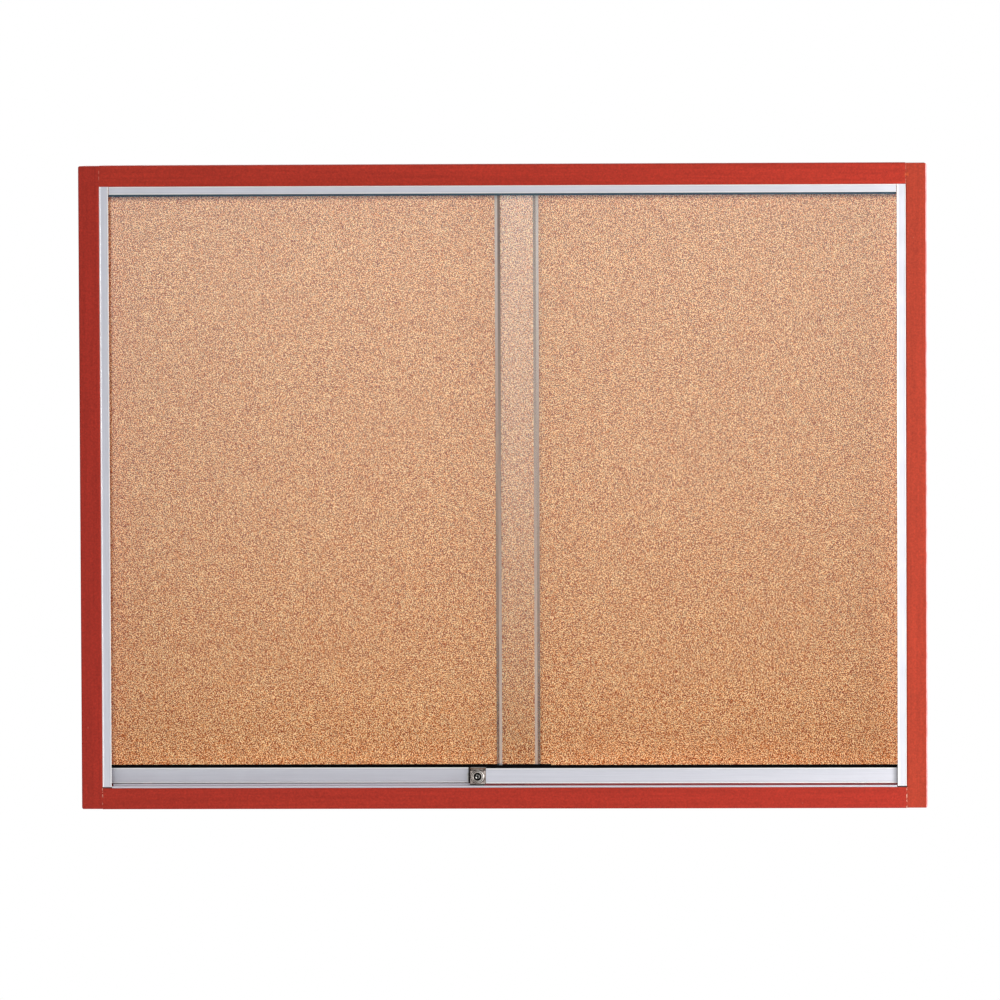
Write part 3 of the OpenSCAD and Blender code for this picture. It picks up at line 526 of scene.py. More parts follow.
def dull_nickel():
    """The lock's plating, dulled and mottled by handling."""
    t = Finish("dull_nickel")
    mottle = t.cloud(520.0, 4.0, 0.7)
    stain = t.spread(t.cloud(130.0, 3.0), 0.4, 0.65)
    colour = t.ramp(mottle, [
        (0.36, (0.15, 0.115, 0.100)), (0.50, (0.48, 0.410, 0.370)), (0.64, (0.88, 0.800, 0.740)),
    ])
    colour = t.mix(t.times(stain, 0.4), colour, (0.07, 0.050, 0.044))
    colour, normal = t.rub(colour, 0.5, 0.5, 0.8, (0.95, 0.89, 0.83))
    # Painted shade under the top edge, in the two upper corners, along the foot and the left side, and round
    # the ring
    low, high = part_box("lock_body")
    here = t.here()
    mid_x, mid_z, radius = round_face("lock_ring")
    painted_crease_shade = t.most(
        t.times(t.spread(t.gap(here["Z"], high.z - 2.4 * MM), 1.3 * MM, 0.6 * MM), 0.75),
        t.spread(t.off_point(low.x + 1.6 * MM, high.z - 2.2 * MM), 2.0 * MM, 1.2 * MM),
        t.spread(t.off_point(high.x - 1.8 * MM, high.z - 2.2 * MM), 2.0 * MM, 1.2 * MM),
        t.past(here["Z"], low.z, 1.7, 0.9, 0.0, 0.9),
        t.past(here["X"], low.x, 1.1, 0.7),
        t.past(t.off_point(mid_x, mid_z), radius, 0.9, 0.4),
    )
    colour = t.mix(t.times(painted_crease_shade, 0.93), colour, (0.016, 0.009, 0.009))
    return t.done(colour, (0.50, 0.34), mottle, 0.05, normal, Metallic=1.0)


def plug_nickel():
    """The plug's face: painted dark as shade in its recess, with painted highlights round the keyway."""
    t = Finish("worn_plug_nickel")
    mid_x, mid_z, _ = round_face("lock_plug")
    mottle = t.cloud(700.0, 3.0, 0.6)
    core = t.spread(t.off_point(mid_x, mid_z), 3.6 * MM, 3.3 * MM)
    # Painted highlights: a bright spot low on the left, a duller one above, and a crescent on the right
    spot = t.spread(t.off_point(mid_x - 2.2 * MM, mid_z - 1.7 * MM), 2.1 * MM, 1.1 * MM)
    upper = t.spread(t.off_point(mid_x - 0.9 * MM, mid_z + 2.5 * MM), 1.6 * MM, 0.8 * MM, 0.0, 0.6)
    off_bow = t.gap(t.off_point(mid_x + 0.2 * MM, mid_z), 2.4 * MM)
    right_half = t.past(t.here()["X"], mid_x, 1.1, 1.7)
    bow = t.times(t.spread(off_bow, 0.8 * MM, 0.4 * MM, 0.0, 0.55), right_half)
    pale = t.times(core, t.most(spot, upper, bow), t.spread(mottle, 0.35, 0.55, 0.75, 1.0))
    colour = t.mix(pale, (0.014, 0.012, 0.011), (0.98, 0.95, 0.90))
    return t.done(colour, (0.50, 0.36), mottle, 0.04, Metallic=1.0)


def ring_nickel():
    """The ring round the plug, with a painted highlight on its right side and painted shade in its groove."""
    t = Finish("bright_ring_nickel")
    mottle = t.cloud(520.0, 4.0, 0.7)
    colour = t.ramp(mottle, [(0.36, (0.24, 0.20, 0.18)), (0.64, (0.80, 0.74, 0.68))])
    # Painted light: the right side is painted bright as a highlight, and the groove is painted dark as shade
    mid_x, mid_z, radius = round_face("lock_ring")
    right = t.past(t.here()["X"], mid_x, -2.0, 5.0)
    painted_right_highlight = t.times(right, t.spread(mottle, 0.35, 0.60, 0.3, 0.9))
    colour = t.mix(painted_right_highlight, colour, (0.99, 0.95, 0.90))
    off_groove = t.gap(t.off_point(mid_x, mid_z), radius - 1.8 * MM)
    colour = t.mix(t.spread(off_groove, 0.7 * MM, 0.3 * MM, 0.0, 0.85), colour, (0.03, 0.022, 0.020))
    colour, normal = t.rub(colour, 0.4, 0.4, 0.5, (0.86, 0.84, 0.82))
    return t.done(colour, (0.36, 0.22), mottle, 0.03, normal, Metallic=1.0)


def round_face(node_name):
    """The middle's x and z, and the radius, of a round node that faces the front."""
    low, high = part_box(node_name)
    return (low.x + high.x) / 2, (low.z + high.z) / 2, (high.x - low.x) / 2


joint_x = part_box("top_rail")[1].x
joint_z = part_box("right_channel")[1].z
case_corner = Vector((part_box("right_stile")[1].x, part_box("right_stile")[0].y))
overlap_left, overlap_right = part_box("front_glass")[0].x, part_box("rear_glass")[1].x
overlap_middle = (overlap_left + overlap_right) / 2
overlap_half = (overlap_right - overlap_left) / 2


def coat(finish, *node_names):
    """Gives a finish to CAD nodes that are kept as they are."""
    for node_name in node_names:
        cad[node_name].data.materials.clear()
        cad[node_name].data.materials.append(finish)


# Painted light: the tints make the right board and the top board paler than the left and bottom ones.
coat(red_stain("red_stain_left_board", "Z", (0.99, 0.99, 1.05)), "left_stile")
coat(red_stain("red_stain_right_board", "Z", (1.06, 1.60, 1.38)), "right_stile")
coat(red_stain("red_stain_top_board", "X", (1.12, 1.18, 1.16)), "top_rail")
coat(red_stain("red_stain_bottom_board", "X"), "bottom_rail")
coat(grained("bare_dowel_wood", 500.0, (0.05, 1.0, 1.0),
             [(0.3, (0.52, 0.33, 0.17)), (0.7, (0.72, 0.52, 0.31))], 0.7, 0.1), "corner_dowels")
coat(cork(), "cork_sheet")
coat(grained("grey_fibre_board", 700.0, (1.0, 0.3, 1.0),
             [(0.3, (0.27, 0.22, 0.16)), (0.7, (0.45, 0.38, 0.29))], 0.95, 0.3), "board_core")
coat(hardboard(), "back_panel")
coat(grained("black_guide_plastic", 1800.0, (0.2, 1.0, 1.0),
             [(0.35, (0.020, 0.055, 0.085)), (0.65, (0.034, 0.088, 0.130))], (0.36, 0.50), 0.02,
             (0.7, 0.4, (0.10, 0.14, 0.17))), "top_guides")
coat(grained("black_strip_rubber", 2200.0, (0.3, 1.0, 1.0),
             [(0.35, (0.0006, 0.0006, 0.0008)), (0.65, (0.0024, 0.0024, 0.0028))], (0.60, 0.75), 0.03,
             Specular_IOR_Level=0.04), "rear_glazing_strip", "front_glazing_strip", "door_bumpers")
coat(grained("black_nylon", 900.0, EVEN, [(0.3, (0.010, 0.010, 0.011)), (0.7, (0.028, 0.028, 0.030))],
             (0.45, 0.60), 0.02, (0.6, 0.5, (0.11, 0.11, 0.11)), wheel_painted_shade),
     "rear_wheel_left", "rear_wheel_right", "front_wheel_left", "front_wheel_right", "bar_spacer")
zinc = zinc_steel()
coat(zinc, "hanger_plates", "rear_roller_housings", "front_roller_housings", "rear_axles", "front_axles",
     "rear_housing_screws", "front_housing_screws", "lock_screws", "lock_pawl")
coat(zinc_steel("greased_zinc_steel", lock_painted_shadow), "ratchet_bar")
nickel = dull_nickel()
coat(nickel, "lock_back_plate")


# Building pieces

SNAP = 0.001 * MM


def body_of_node(node_name):
    return cad[node_name]["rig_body"]


def link(name, data):
    made = bpy.data.objects.new(name, data)
    scene.collection.objects.link(made)
    return made


def shape_of(mesh):
    shape = bmesh.new()
    shape.from_mesh(mesh)
    return shape


def mesh_of(shape, name):
    """The shape as new mesh data. The shape is freed."""
    mesh = bpy.data.meshes.new(name)
    shape.to_mesh(mesh)
    shape.free()
    return mesh


def clean(shape, reach=SNAP):
    """Merges doubles and turns the faces outwards."""
    bmesh.ops.remove_doubles(shape, verts=shape.verts, dist=reach)
    bmesh.ops.recalc_face_normals(shape, faces=shape.faces)


def evaluated_mesh(source):
    """The mesh that an object's modifiers make, as new data."""
    bpy.context.view_layer.update()
    scene_now = bpy.context.evaluated_depsgraph_get()
    return bpy.data.meshes.new_from_object(source.evaluated_get(scene_now), depsgraph=scene_now)


def tidy_mesh(mesh, round_below=0.0):
    """Cleans a mesh and shades the narrow rounded faces smooth."""
    shape = shape_of(mesh)
    clean(shape, 2.0 * SNAP)
    for face in shape.faces:
        face.smooth = min(edge.calc_length() for edge in face.edges) < round_below
    shape.to_mesh(mesh)
    shape.free()


def place_piece(name, mesh, node_name, finish=None):
    """A finished mesh takes a CAD node's place and rides on its body."""
    if finish is not None:
        mesh.materials.clear()
        mesh.materials.append(finish)
    piece = link(name, mesh)
    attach(piece, body_of_node(node_name))
    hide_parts(node_name)
    return piece


def bake_modifier(source, tree, settings):
    """Runs a Geometry Nodes tree on an object and returns the plain mesh. The object is removed."""
    modifier = source.modifiers.new("tree", "NODES")
    modifier.node_group = tree
    sockets = {item.name: item.identifier for item in tree.interface.items_tree if item.item_type == "SOCKET"}
    for name, value in settings.items():
        modifier[sockets[name]] = value
    mesh = evaluated_mesh(source)
    source.modifiers.remove(modifier)
    bpy.data.objects.remove(source)
    return mesh


def end_tree(t, given, out, geometry):
    """The last two nodes of every tree: real geometry, with the finish that was given."""
    whole = t.first("GeometryNodeRealizeInstances", {"Geometry": geometry})
    t.put(out["Geometry"], t.first("GeometryNodeSetMaterial", {0: whole, "Material": given["Finish"]}))
    return t.tree


# Drawn aluminium sections

CORNER_RADIUS = 0.3 * MM


def make_drawn_section():
    """A closed outline with eased corners, drawn out to a length, turned and put in place."""
    t, given, out = new_group(
        "drawn_section", "GeometryNodeTree",
        [("Geometry", "Geometry", None), ("Length", "Float", 1.0), ("Corner radius", "Float", CORNER_RADIUS),
         ("Corner steps", "Int", 3), ("Turn", "Vector", UPRIGHT), ("Start", "Vector", ORIGIN),
         ("Finish", "Material", None)],
        [("Geometry", "Geometry")],
    )
    outline = t.first("GeometryNodeFilletCurve", {
        "Curve": given["Geometry"], "Radius": given["Corner radius"], "Count": given["Corner steps"],
        "Limit Radius": True,
    }, mode="POLY")
    far_end = t.first("CombineXYZ", {"Z": given["Length"]})
    path = t.first("GeometryNodeCurvePrimitiveLine", {"End": far_end})
    solid = t.first("GeometryNodeCurveToMesh", {"Curve": path, "Profile Curve": outline, "Fill Caps": True})
    placed = t.first("GeometryNodeTransform", {
        "Geometry": solid, "Rotation": given["Turn"], "Translation": given["Start"],
    })
    return end_tree(t, given, out, placed)


def drawn_piece(node_name, outline, length, turn, start, finish):
    name = "drawn_" + node_name
    curve = bpy.data.curves.new(name + "_outline", "CURVE")
    curve.dimensions = "3D"
    spline = curve.splines.new("POLY")
    spline.points.add(len(outline) - 1)
    for point, (across, up) in zip(spline.points, outline):
        point.co = (across, up, 0.0, 1.0)
    spline.use_cyclic_u = True
    mesh = bake_modifier(link(name + "_outline", curve), drawn_section, {
        "Length": length, "Corner radius": CORNER_RADIUS, "Turn": turn, "Start": start, "Finish": finish,
    })
    tidy_mesh(mesh, 1.2 * CORNER_RADIUS)
    return place_piece(name, mesh, node_name)


def drawn_across(node_name, outline, finish):
    """A section that runs along X for its node's whole width."""
    low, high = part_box(node_name)
    return drawn_piece(node_name, outline, high.x - low.x, ALONG_X, (low.x, 0.0, 0.0), finish)


drawn_section = make_drawn_section()

METAL = 1.5 * MM
SHOE_WALL = 1.4 * MM
BEAD_OUT = 0.4 * MM
BEAD = 1.8 * MM
REAR_FLANGE_SHORT = 3.0 * MM
LIP_H = 3.0 * MM
RAIL_H = 3.0 * MM
HALF_RAIL = 0.6 * MM


def mirrored(half, middle_y):
    """The outline that a half and its mirror image make."""
    return half + [(2 * middle_y - y, z) for y, z in reversed(half)]


def channel_outline(side, web_x, open_x, front, back):
    """A side channel in plan: the front flange is the wider one, with a raised bead along both edges."""
    rear_x = open_x + REAR_FLANGE_SHORT
    proud = front - BEAD_OUT
    edge = [
        (web_x, proud), (web_x, back), (rear_x, back), (rear_x, back - METAL),
        (web_x - METAL, back - METAL), (web_x - METAL, front + METAL), (open_x, front + METAL),
        (open_x, proud), (open_x + BEAD, proud), (open_x + BEAD, front), (web_x - BEAD, front),
        (web_x - BEAD, proud),
    ]
    return [(side * x, y) for x, y in edge]


upright_finish = satin_aluminium("upright", "Z", "left_channel", painted_shade=channel_foot_painted_shade)
for side, node_name in ((-1, "left_channel"), (1, "right_channel")):
    low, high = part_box(node_name)
    web_x, open_x = (high.x, low.x) if side > 0 else (-low.x, -high.x)
    outline = channel_outline(side, web_x, open_x, low.y + BEAD_OUT, high.y)
    drawn_piece(node_name, outline, high.z - low.z, UPRIGHT, (0.0, 0.0, low.z), upright_finish)


def top_track_outline(front, back, bottom, top):
    """The top track in section: three fins hang from a web, and the front one has two beads."""
    rib = (front + back) / 2
    proud = front - BEAD_OUT
    return [
        (proud, top), (proud, top - BEAD), (front, top - BEAD), (front, bottom + BEAD),
        (proud, bottom + BEAD), (proud, bottom),
        (front + METAL, bottom), (front + METAL, top - METAL),
        (rib - METAL / 2, top - METAL), (rib - METAL / 2, bottom), (rib + METAL / 2, bottom),
        (rib + METAL / 2, top - METAL), (back - METAL, top - METAL), (back - METAL, bottom),
        (back, bottom), (back, top),
    ]


low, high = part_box("top_track")
outline = top_track_outline(low.y + BEAD_OUT, high.y, low.z, high.z)
drawn_across("top_track", outline, satin_aluminium("across", "X", "top_track"))


def bottom_track_outline(front, back, bottom, top):
    """The bottom track in section: a lip, a rail, the taller rib, a rail and a lip stand on a web."""
    lip_z = bottom + LIP_H
    rail_z = bottom + RAIL_H
    floor_z = bottom + METAL
    rib = (front + back) / 2
    rail = (front + METAL + rib - METAL / 2) / 2
    return mirrored([
        (front, bottom), (front, lip_z), (front + METAL, lip_z), (front + METAL, floor_z),
        (rail - HALF_RAIL, floor_z), (rail - HALF_RAIL, rail_z), (rail + HALF_RAIL, rail_z),
        (rail + HALF_RAIL, floor_z), (rib - METAL / 2, floor_z), (rib - METAL / 2, top),
    ], rib)


low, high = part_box("bottom_track")
outline = bottom_track_outline(low.y, high.y, low.z, high.z)
# Painted shade: the bottom track is dimmed to 0.9 and takes the red painted shade behind its lip.
drawn_across("bottom_track", outline, satin_aluminium("floor", "X", "bottom_track", 0.9, False, track_painted_shade))


def shoe_outline(front, back, bottom, top, web_low, web_high):
    """A door's shoe in section: an H with a bead along each outer edge."""
    inner = front + SHOE_WALL
    proud = front - BEAD_OUT
    return mirrored([
        (inner, web_low), (inner, bottom), (proud, bottom), (proud, bottom + BEAD), (front, bottom + BEAD),
        (front, top - BEAD), (proud, top - BEAD), (proud, top), (inner, top), (inner, web_high),
    ], (front + back) / 2)


# Painted shade: the rear shoe is dimmed more than the front one, as its recess is in shade; each shoe also
# takes a painted shade rule.
for door, painted_dimming, painted_shade in (("rear", 0.83, lock_painted_shadow), ("front", 0.91, shoe_end_painted_shade)):
    shoe = door + "_shoe"
    low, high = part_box(shoe)
    web_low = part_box(door + "_roller_housings")[1].z
    web_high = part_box(door + "_glazing_strip")[0].z
    outline = shoe_outline(low.y + BEAD_OUT, high.y - BEAD_OUT, low.z, high.z, web_low, web_high)
    drawn_across(shoe, outline, satin_aluminium(shoe, "X", shoe, painted_dimming, painted_shade=painted_shade))


# Panes

def merged_copy(node_name):
    """A CAD node's mesh with its loose triangles joined and its flat faces whole."""
    shape = shape_of(cad[node_name].data)
    bmesh.ops.remove_doubles(shape, verts=shape.verts, dist=SNAP)
    bmesh.ops.dissolve_limit(shape, angle_limit=math.radians(1.0), verts=shape.verts, edges=shape.edges)
    return shape


def eased_copy(name, node_name, ease, steps, finish, is_eased=lambda edge: True):
    """A copy of a CAD node whose sharp edges are eased."""
    shape = merged_copy(node_name)
    sharp = [edge for edge in shape.edges
             if edge.is_manifold and edge.calc_face_angle(0.0) > math.radians(8.0) and is_eased(edge)]
    bmesh.ops.bevel(shape, geom=sharp, offset=ease, segments=steps, profile=0.5, affect="EDGES",
                    clamp_overlap=True)
    mesh = mesh_of(shape, name)
    tidy_mesh(mesh, 0.8 * ease)
    return place_piece(name, mesh, node_name, finish)


glass, ground_glass = clear_glass(), ground_bevel()
for door in ("rear", "front"):
    pane = eased_copy(door + "_pane", door + "_glass", 0.35 * MM, 2, glass)
    pane.data.materials.append(ground_glass)
    # The ground faces are the slanting ones at the front of the upright edges
    for face in pane.data.polygons:
        if 0.05 < abs(face.normal.x) < 0.5 and face.normal.y < -0.8:
            face.material_index = 1


# Turned and cut pieces

def standing(place, toward):
    """The matrix that takes the origin to a place and turns +Z toward a direction."""
    return Matrix.Translation(place) @ Vector(toward).to_track_quat("Z", "Y").to_matrix().to_4x4()


def turned(profile, steps, axis_place=ORIGIN, toward=UP):
    """Turns a closed profile of (radius, height) points about its axis, and points +Z toward a direction."""
    shape = bmesh.new()
    ring = [shape.verts.new((radius, 0.0, height)) for radius, height in profile]
    edges = [shape.edges.new((a, b)) for a, b in zip(ring, ring[1:])]
    if profile[0][0] > 0.0 or profile[-1][0] > 0.0:
        edges.append(shape.edges.new((ring[-1], ring[0])))
    bmesh.ops.spin(shape, geom=ring + edges, cent=ORIGIN, axis=UP, dvec=ORIGIN, angle=2.0 * math.pi,
                   steps=steps, use_merge=True)
    clean(shape)
    bmesh.ops.transform(shape, matrix=standing(axis_place, toward), verts=shape.verts)
    return mesh_of(shape, "turned")


def tapered(outline, top, bottom, shrink):
    """A solid of an outline in the XY plane that narrows downwards, used to cut a recess."""
    shape = bmesh.new()
    upper = [shape.verts.new((x, y, top)) for x, y in outline]
    lower = [shape.verts.new((x * shrink, y * shrink, bottom)) for x, y in outline]
    shape.faces.new(upper)
    shape.faces.new(lower)
    for i in range(len(outline)):
        j = (i + 1) % len(outline)
        shape.faces.new((upper[i], upper[j], lower[j], lower[i]))
    bmesh.ops.recalc_face_normals(shape, faces=shape.faces)
    return mesh_of(shape, "cutter")


def cut_away(mesh, cutter):
    """The mesh less the cutter's shape."""
    whole = link("whole", mesh)
    tool = link("tool", cutter)
    modifier = whole.modifiers.new("cut", "BOOLEAN")
    modifier.operation = "DIFFERENCE"
    modifier.solver = "EXACT"
    modifier.object = tool
    result = evaluated_mesh(whole)
    for used in (whole, tool):
        bpy.data.objects.remove(used)
    return result


def cross_outline(reach, width):
    h = width / 2
    return [(reach, -h), (reach, h), (h, h), (h, reach), (-h, reach), (-h, h),
            (-reach, h), (-reach, -h), (-h, -h), (-h, -reach), (h, -reach), (h, -h)]


def screw_mesh(shank, head, length, dome):
    """A countersunk screw that points down -Z, with a cross recess. A dome above 0 makes it oval-headed."""
    tip, edge_h, head_h = 0.3 * MM, 0.15 * MM, 1.5 * MM
    crown = [(head * k, dome * (1.0 - k * k)) for k in (0.0, 0.35, 0.65, 0.9)] if dome > 0.0 else [(0.0, 0.0)]
    rim = [(head - edge_h, dome * 0.05), (head, -edge_h)]
    foot = [(shank, -head_h), (shank, -length + 2 * shank), (tip, -length), (0.0, -length)]
    recess = tapered(cross_outline(0.52 * head, 0.26 * head), dome + 0.3 * MM, -0.9 * MM, 0.55)
    return cut_away(turned(crown + rim + foot, 20), recess)


def make_screw_row():
    """Screws at points, each turned the way that it was left, and pointing along the points' aim."""
    t, given, out = new_group(
        "screw_row", "GeometryNodeTree",
        [("Geometry", "Geometry", None), ("Screw", "Object", None),
         ("Size", "Float", 1.0), ("Seed", "Int", 1), ("Finish", "Material", None)],
        [("Geometry", "Geometry")],
    )
    screw = t.add("GeometryNodeObjectInfo", {"Object": given["Screw"], "As Instance": True})
    aim = t.first("GeometryNodeInputNamedAttribute", {"Name": "head_toward"}, data_type="FLOAT_VECTOR")
    facing = t.first("FunctionNodeAlignRotationToVector", {"Vector": aim}, axis="Z")
    spin = t.add("FunctionNodeRandomValue", {"Min": 0.0, "Max": 2.0 * math.pi, "Seed": given["Seed"]},
                 data_type="FLOAT")
    spin_value = [socket for socket in spin.outputs if socket.enabled][0]
    about = t.first("FunctionNodeAxisAngleToRotation", {"Axis": UP, "Angle": spin_value})
    turn = t.first("FunctionNodeRotateRotation", {0: facing, 1: about}, rotation_space="LOCAL")
    row = t.first("GeometryNodeInstanceOnPoints", {
        "Points": given["Geometry"], "Instance": screw.outputs["Geometry"], "Rotation": turn,
        "Scale": given["Size"],
    })
    return end_tree(t, given, out, row)


def screw_piece(name, node_name, screw, places, seed):
    """One piece of all the screws of a CAD node. Places are (point, direction that the head faces)."""
    points = bpy.data.meshes.new(name + "_points")
    points.from_pydata([point for point, _ in places], [], [])
    aims = points.attributes.new("head_toward", "FLOAT_VECTOR", "POINT")
    for item, (_, toward) in zip(aims.data, places):
        item.vector = toward
    pattern = link(name + "_pattern", screw)
    settings = {"Screw": pattern, "Seed": seed, "Finish": zinc}
    mesh = bake_modifier(link(name + "_points", points), screw_row, settings)
    bpy.data.objects.remove(pattern)
    tidy_mesh(mesh)
    return place_piece(name, mesh, node_name)


def islands(node_name):
    """The boxes of a CAD node's separate solids."""
    shape = merged_copy(node_name)
    left = set(shape.verts)
    boxes = []
    while left:
        found = [left.pop()]
        for vertex in found:
            near = {edge.other_vert(vertex) for edge in vertex.link_edges} & left
            left -= near
            found += near
        spots = [vertex.co for vertex in found]
        boxes.append([Vector(pick(spot[i] for spot in spots) for i in range(3)) for pick in (min, max)])
    shape.free()
    return sorted(boxes, key=lambda box: [round(value, 4) for value in box[0]])


def head_places(node_name, toward):
    """Where the screws' heads are, read from the node's solids. Toward is where a head faces, or a rule."""
    places = []
    for low, high in islands(node_name):
        middle = (low + high) / 2
        facing = Vector(toward(middle) if callable(toward) else toward)
        ends = zip(facing, low, middle, high)
        point = Vector(top if way > 0 else foot if way < 0 else mid for way, foot, mid, top in ends)
        places.append((point, facing))
    return places


def inwards(middle):
    return (-1, 0, 0) if middle.x > 0 else (1, 0, 0)


screw_row = make_screw_row()
for name, node_name, sizes_mm, toward, seed in (
    ("panel_screws", "back_screws", (1.75, 3.2, 30.5, 0.0), (0, 1, 0), 11),
    ("hanger_plate_screws", "hanger_screws", (1.75, 3.2, 16.0, 0.0), (0, 1, 0), 12),
    ("side_channel_screws", "channel_screws", (1.75, 3.2, 20.0, 0.6), inwards, 13),
    ("roof_track_screws", "top_track_screws", (1.75, 3.2, 20.0, 0.0), (0, 0, -1), 14),
    ("floor_track_screws", "bottom_track_screws", (1.2, 2.0, 20.0, 0.0), (0, 0, 1), 15),
):
    screw = screw_mesh(*[size * MM for size in sizes_mm])
    screw_piece(name, node_name, screw, head_places(node_name, toward), seed)


# The lock

def outer_edge(node_name):
    """A rule that picks the edges along the corners of a node's box."""
    low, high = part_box(node_name)

    def is_outer(edge):
        a, b = (vertex.co for vertex in edge.verts)
        on = sum(1 for i in range(3)
                 if abs(a[i] - b[i]) < SNAP and min(abs(a[i] - low[i]), abs(a[i] - high[i])) < SNAP)
        return on >= 2

    return is_outer


eased_copy("lock_case", "lock_body", 0.9 * MM, 3, nickel, outer_edge("lock_body"))

mid_x, mid_z, ring_r = round_face("lock_ring")
ring_low, ring_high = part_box("lock_ring")
ring_h = ring_high.y - ring_low.y
plug_low, plug_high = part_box("lock_plug")
plug_r = (plug_high.x - plug_low.x) / 2
bore_r = plug_r + 0.05 * MM
# The ring's profile in millimetres from its rim or its bore, and shares of its height
outside = [(0.0, 0.0), (0.0, 0.35), (0.3, 0.75), (0.8, 1.0), (1.3, 0.96), (1.5, 0.7), (1.9, 0.7), (2.1, 0.94)]
inside = [(0.9, 0.94), (0.3, 0.62), (0.0, 0.45)]
ring_profile = [(bore_r, 0.0)]
ring_profile += [(ring_r - inset * MM, share * ring_h) for inset, share in outside]
ring_profile += [(bore_r + inset * MM, share * ring_h) for inset, share in inside]
mesh = turned(ring_profile, 96, (mid_x, ring_high.y, mid_z), FORWARD)
tidy_mesh(mesh, 10.0 * MM)
place_piece("lock_rosette", mesh, "lock_ring", ring_nickel())

PAWL_TRAVEL = 1.5 * MM


def keyed_plug():
    """The plug: a core with a bent keyway stands in a dark groove, and a pin behind drives the pawl."""
    core, groove, pin = 3.5 * MM, 1.6 * MM, 1.2 * MM
    reach = plug_high.y - plug_low.y
    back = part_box("lock_pawl")[0].y - 0.4 * MM - plug_low.y
    profile = [
        (0.0, -0.10 * MM), (0.5 * core, -0.05 * MM), (core - 0.5 * MM, 0.0), (core - 0.15 * MM, -0.15 * MM),
        (core, -0.5 * MM), (core, -groove), (plug_r - 0.5 * MM, -groove), (plug_r - 0.35 * MM, -0.2 * MM),
        (plug_r - 0.1 * MM, -0.1 * MM), (plug_r, -0.3 * MM), (plug_r, -back), (0.0, -back),
    ]
    keyway_mm = [(-0.8, -2.9), (1.5, -2.9), (1.5, -1.7), (0.5, -1.5), (0.8, 0.2), (0.3, 0.9), (0.8, 2.9),
                 (-0.8, 2.9), (-1.2, 1.3), (-0.5, 0.4), (-0.8, -0.9)]
    keyway = tapered([(x * MM, z * MM) for x, z in keyway_mm], 1.0 * MM, -7.0 * MM, 0.9)
    made = cut_away(turned(profile, 64), keyway)
    pin_foot = -back + 0.01 * MM
    pin_profile = [(0.0, pin_foot), (pin, pin_foot), (pin, -reach), (0.0, -reach)]
    rod = turned(pin_profile, 24, (0.0, PAWL_TRAVEL, 0.0))
    shape = shape_of(made)
    shape.from_mesh(rod)
    shape.to_mesh(made)
    shape.free()
    made.transform(standing((mid_x, plug_low.y, mid_z), FORWARD))
    return made


mesh = keyed_plug()
tidy_mesh(mesh)
place_piece("keyed_plug", mesh, "lock_plug", plug_nickel())


# Floor, lamps and camera

FLOOR_REACH = 3.0
FLOOR_PLACE = (0.0, -1.75, -0.94)
WARM = (1.0, 0.98, 0.94)
PHOTO_LENS = 305.11
CAMERA_PLACE = (0.3890, -12.889, 0.5806)
CAMERA_TURNS = ((1.7606, "Z"), (-2.6835, "X"), (0.2374, "Y"), (90.0, "X"))


def pale_floor():
    """A plain pale floor, well below the wall case."""
    shape = bmesh.new()
    bmesh.ops.create_grid(shape, x_segments=24, y_segments=24, size=FLOOR_REACH)
    bmesh.ops.translate(shape, vec=FLOOR_PLACE, verts=shape.verts)
    mesh = mesh_of(shape, "pale_floor")
    t = Finish("pale_floor")
    cloud = t.cloud(3.0)
    mesh.materials.append(t.done(t.ramp(cloud, [(0.3, 0.80), (0.7, 0.84)]), 0.8))
    floor = link("pale_floor", mesh)


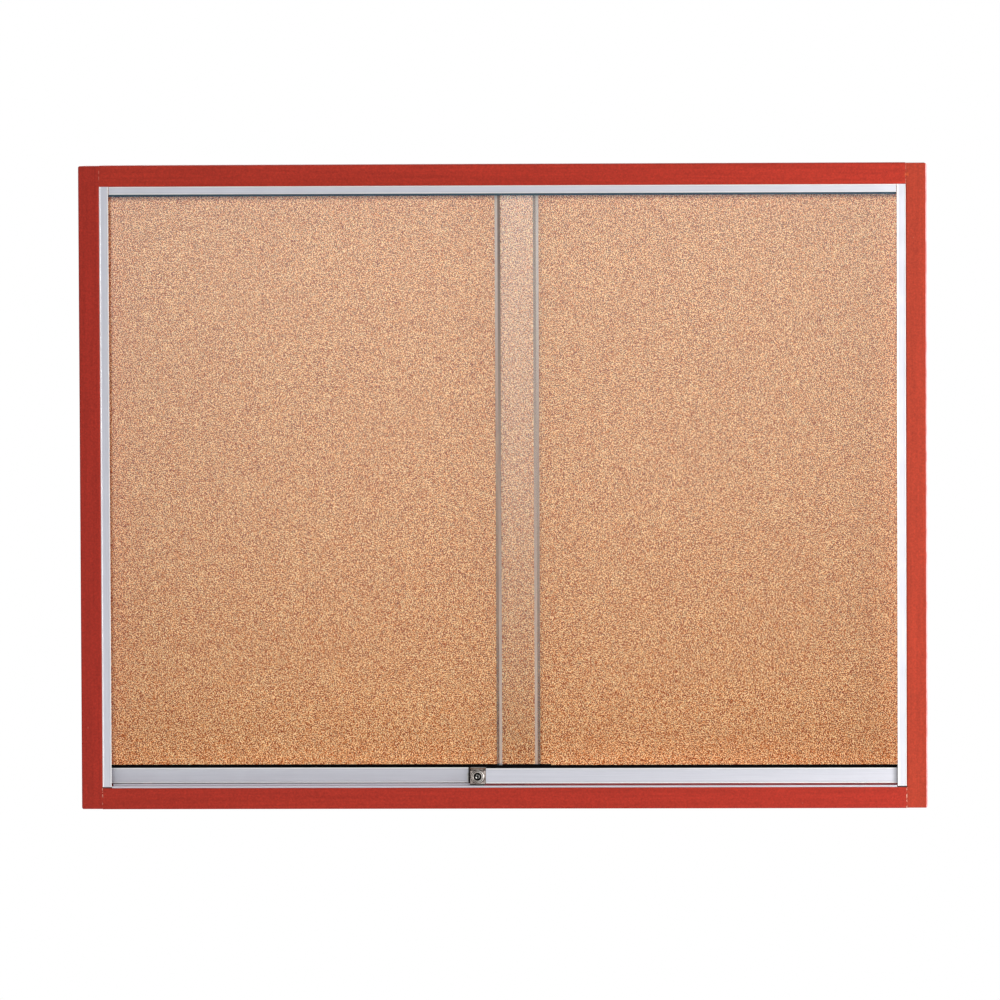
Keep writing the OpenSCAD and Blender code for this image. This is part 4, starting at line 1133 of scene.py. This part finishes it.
def room_light():
    """White behind the case, and for all else a soft room with a bright band at eye height."""
    strength = 2.0
    heights = [(-0.079, 0.01), (-0.045, 1.12), (-0.010, 1.95), (0.020, 1.95), (0.080, 0.71), (0.400, 0.52)]
    low, high = heights[0][0], heights[-1][0]
    world = bpy.data.worlds.new("studio")
    scene.world = world
    world.use_nodes = True
    background = world.node_tree.nodes["Background"]
    t = Tree(world.node_tree)
    up = t.add("SeparateXYZ", {0: t.add("TexCoord").outputs["Generated"]}).outputs["Z"]
    share = t.first("MapRange", {0: up, 1: low, 2: high})
    room = t.ramp(share, [((height - low) / (high - low), glow / strength) for height, glow in heights])
    seen = t.add("LightPath").outputs["Is Camera Ray"]
    white = 1.0 / strength
    t.put(background.inputs["Color"], t.mix(seen, room, (white, white, white)))
    background.inputs["Strength"].default_value = strength


def lamp(name, place, target, size, power, colour=EVEN):
    data = bpy.data.lights.new(name, "AREA")
    data.shape = "RECTANGLE"
    data.size, data.size_y = size
    data.energy = power
    data.color = colour
    made = link(name, data)
    made.location = place
    made.rotation_euler = (Vector(target) - Vector(place)).to_track_quat("-Z", "Y").to_euler()
    return made


def aim_at(lamps, things):
    """The lamps light only these things, as if flags shaded the rest."""
    lit = bpy.data.collections.new("lit_by_" + lamps[0].name)
    for thing in things:
        lit.objects.link(thing)
    for made in lamps:
        made.light_linking.receiver_collection = lit


def long_lens_camera():
    """A long lens that stands a little to the right of the case's middle, and above it."""
    data = bpy.data.cameras.new("camera")
    data.lens = PHOTO_LENS
    data.sensor_width = 36.0
    data.clip_start = 0.1
    data.clip_end = 60.0
    made = link("camera", data)
    look = Matrix.Identity(4)
    for angle, axis in CAMERA_TURNS:
        look = look @ Matrix.Rotation(math.radians(angle), 4, axis)
    made.matrix_world = Matrix.Translation(CAMERA_PLACE) @ look
    return made


pale_floor()
room_light()
side_lamp = lamp("right_side_lamp", (1.95, -0.75, 0.10), (0.2, -0.09, 0.0), (0.5, 1.6), 24.0, WARM)
near_lamp = lamp("near_right_lamp", (1.05, -2.2, 0.0), (0.4, -0.09, 0.0), (0.4, 1.4), 5.8, WARM)
solid_things = [thing for thing in scene.objects if thing.type == "MESH"]
behind_glass = [cad["cork_sheet"]] + [thing for thing in solid_things if thing.name.endswith("_pane")]
aim_at([side_lamp, near_lamp], [thing for thing in solid_things if thing not in behind_glass])
panel_lamp = lamp("panel_lamp", (-0.1, -12.0, 1.35), ORIGIN, (2.2, 1.0), 800.0)
aim_at([panel_lamp], [cad["cork_sheet"]])
lamp("back_lamp", (-1.5, 2.6, 1.4), ORIGIN, (1.6, 1.6), 40.0)

scene.camera = long_lens_camera()
scene.view_settings.view_transform = "Standard"
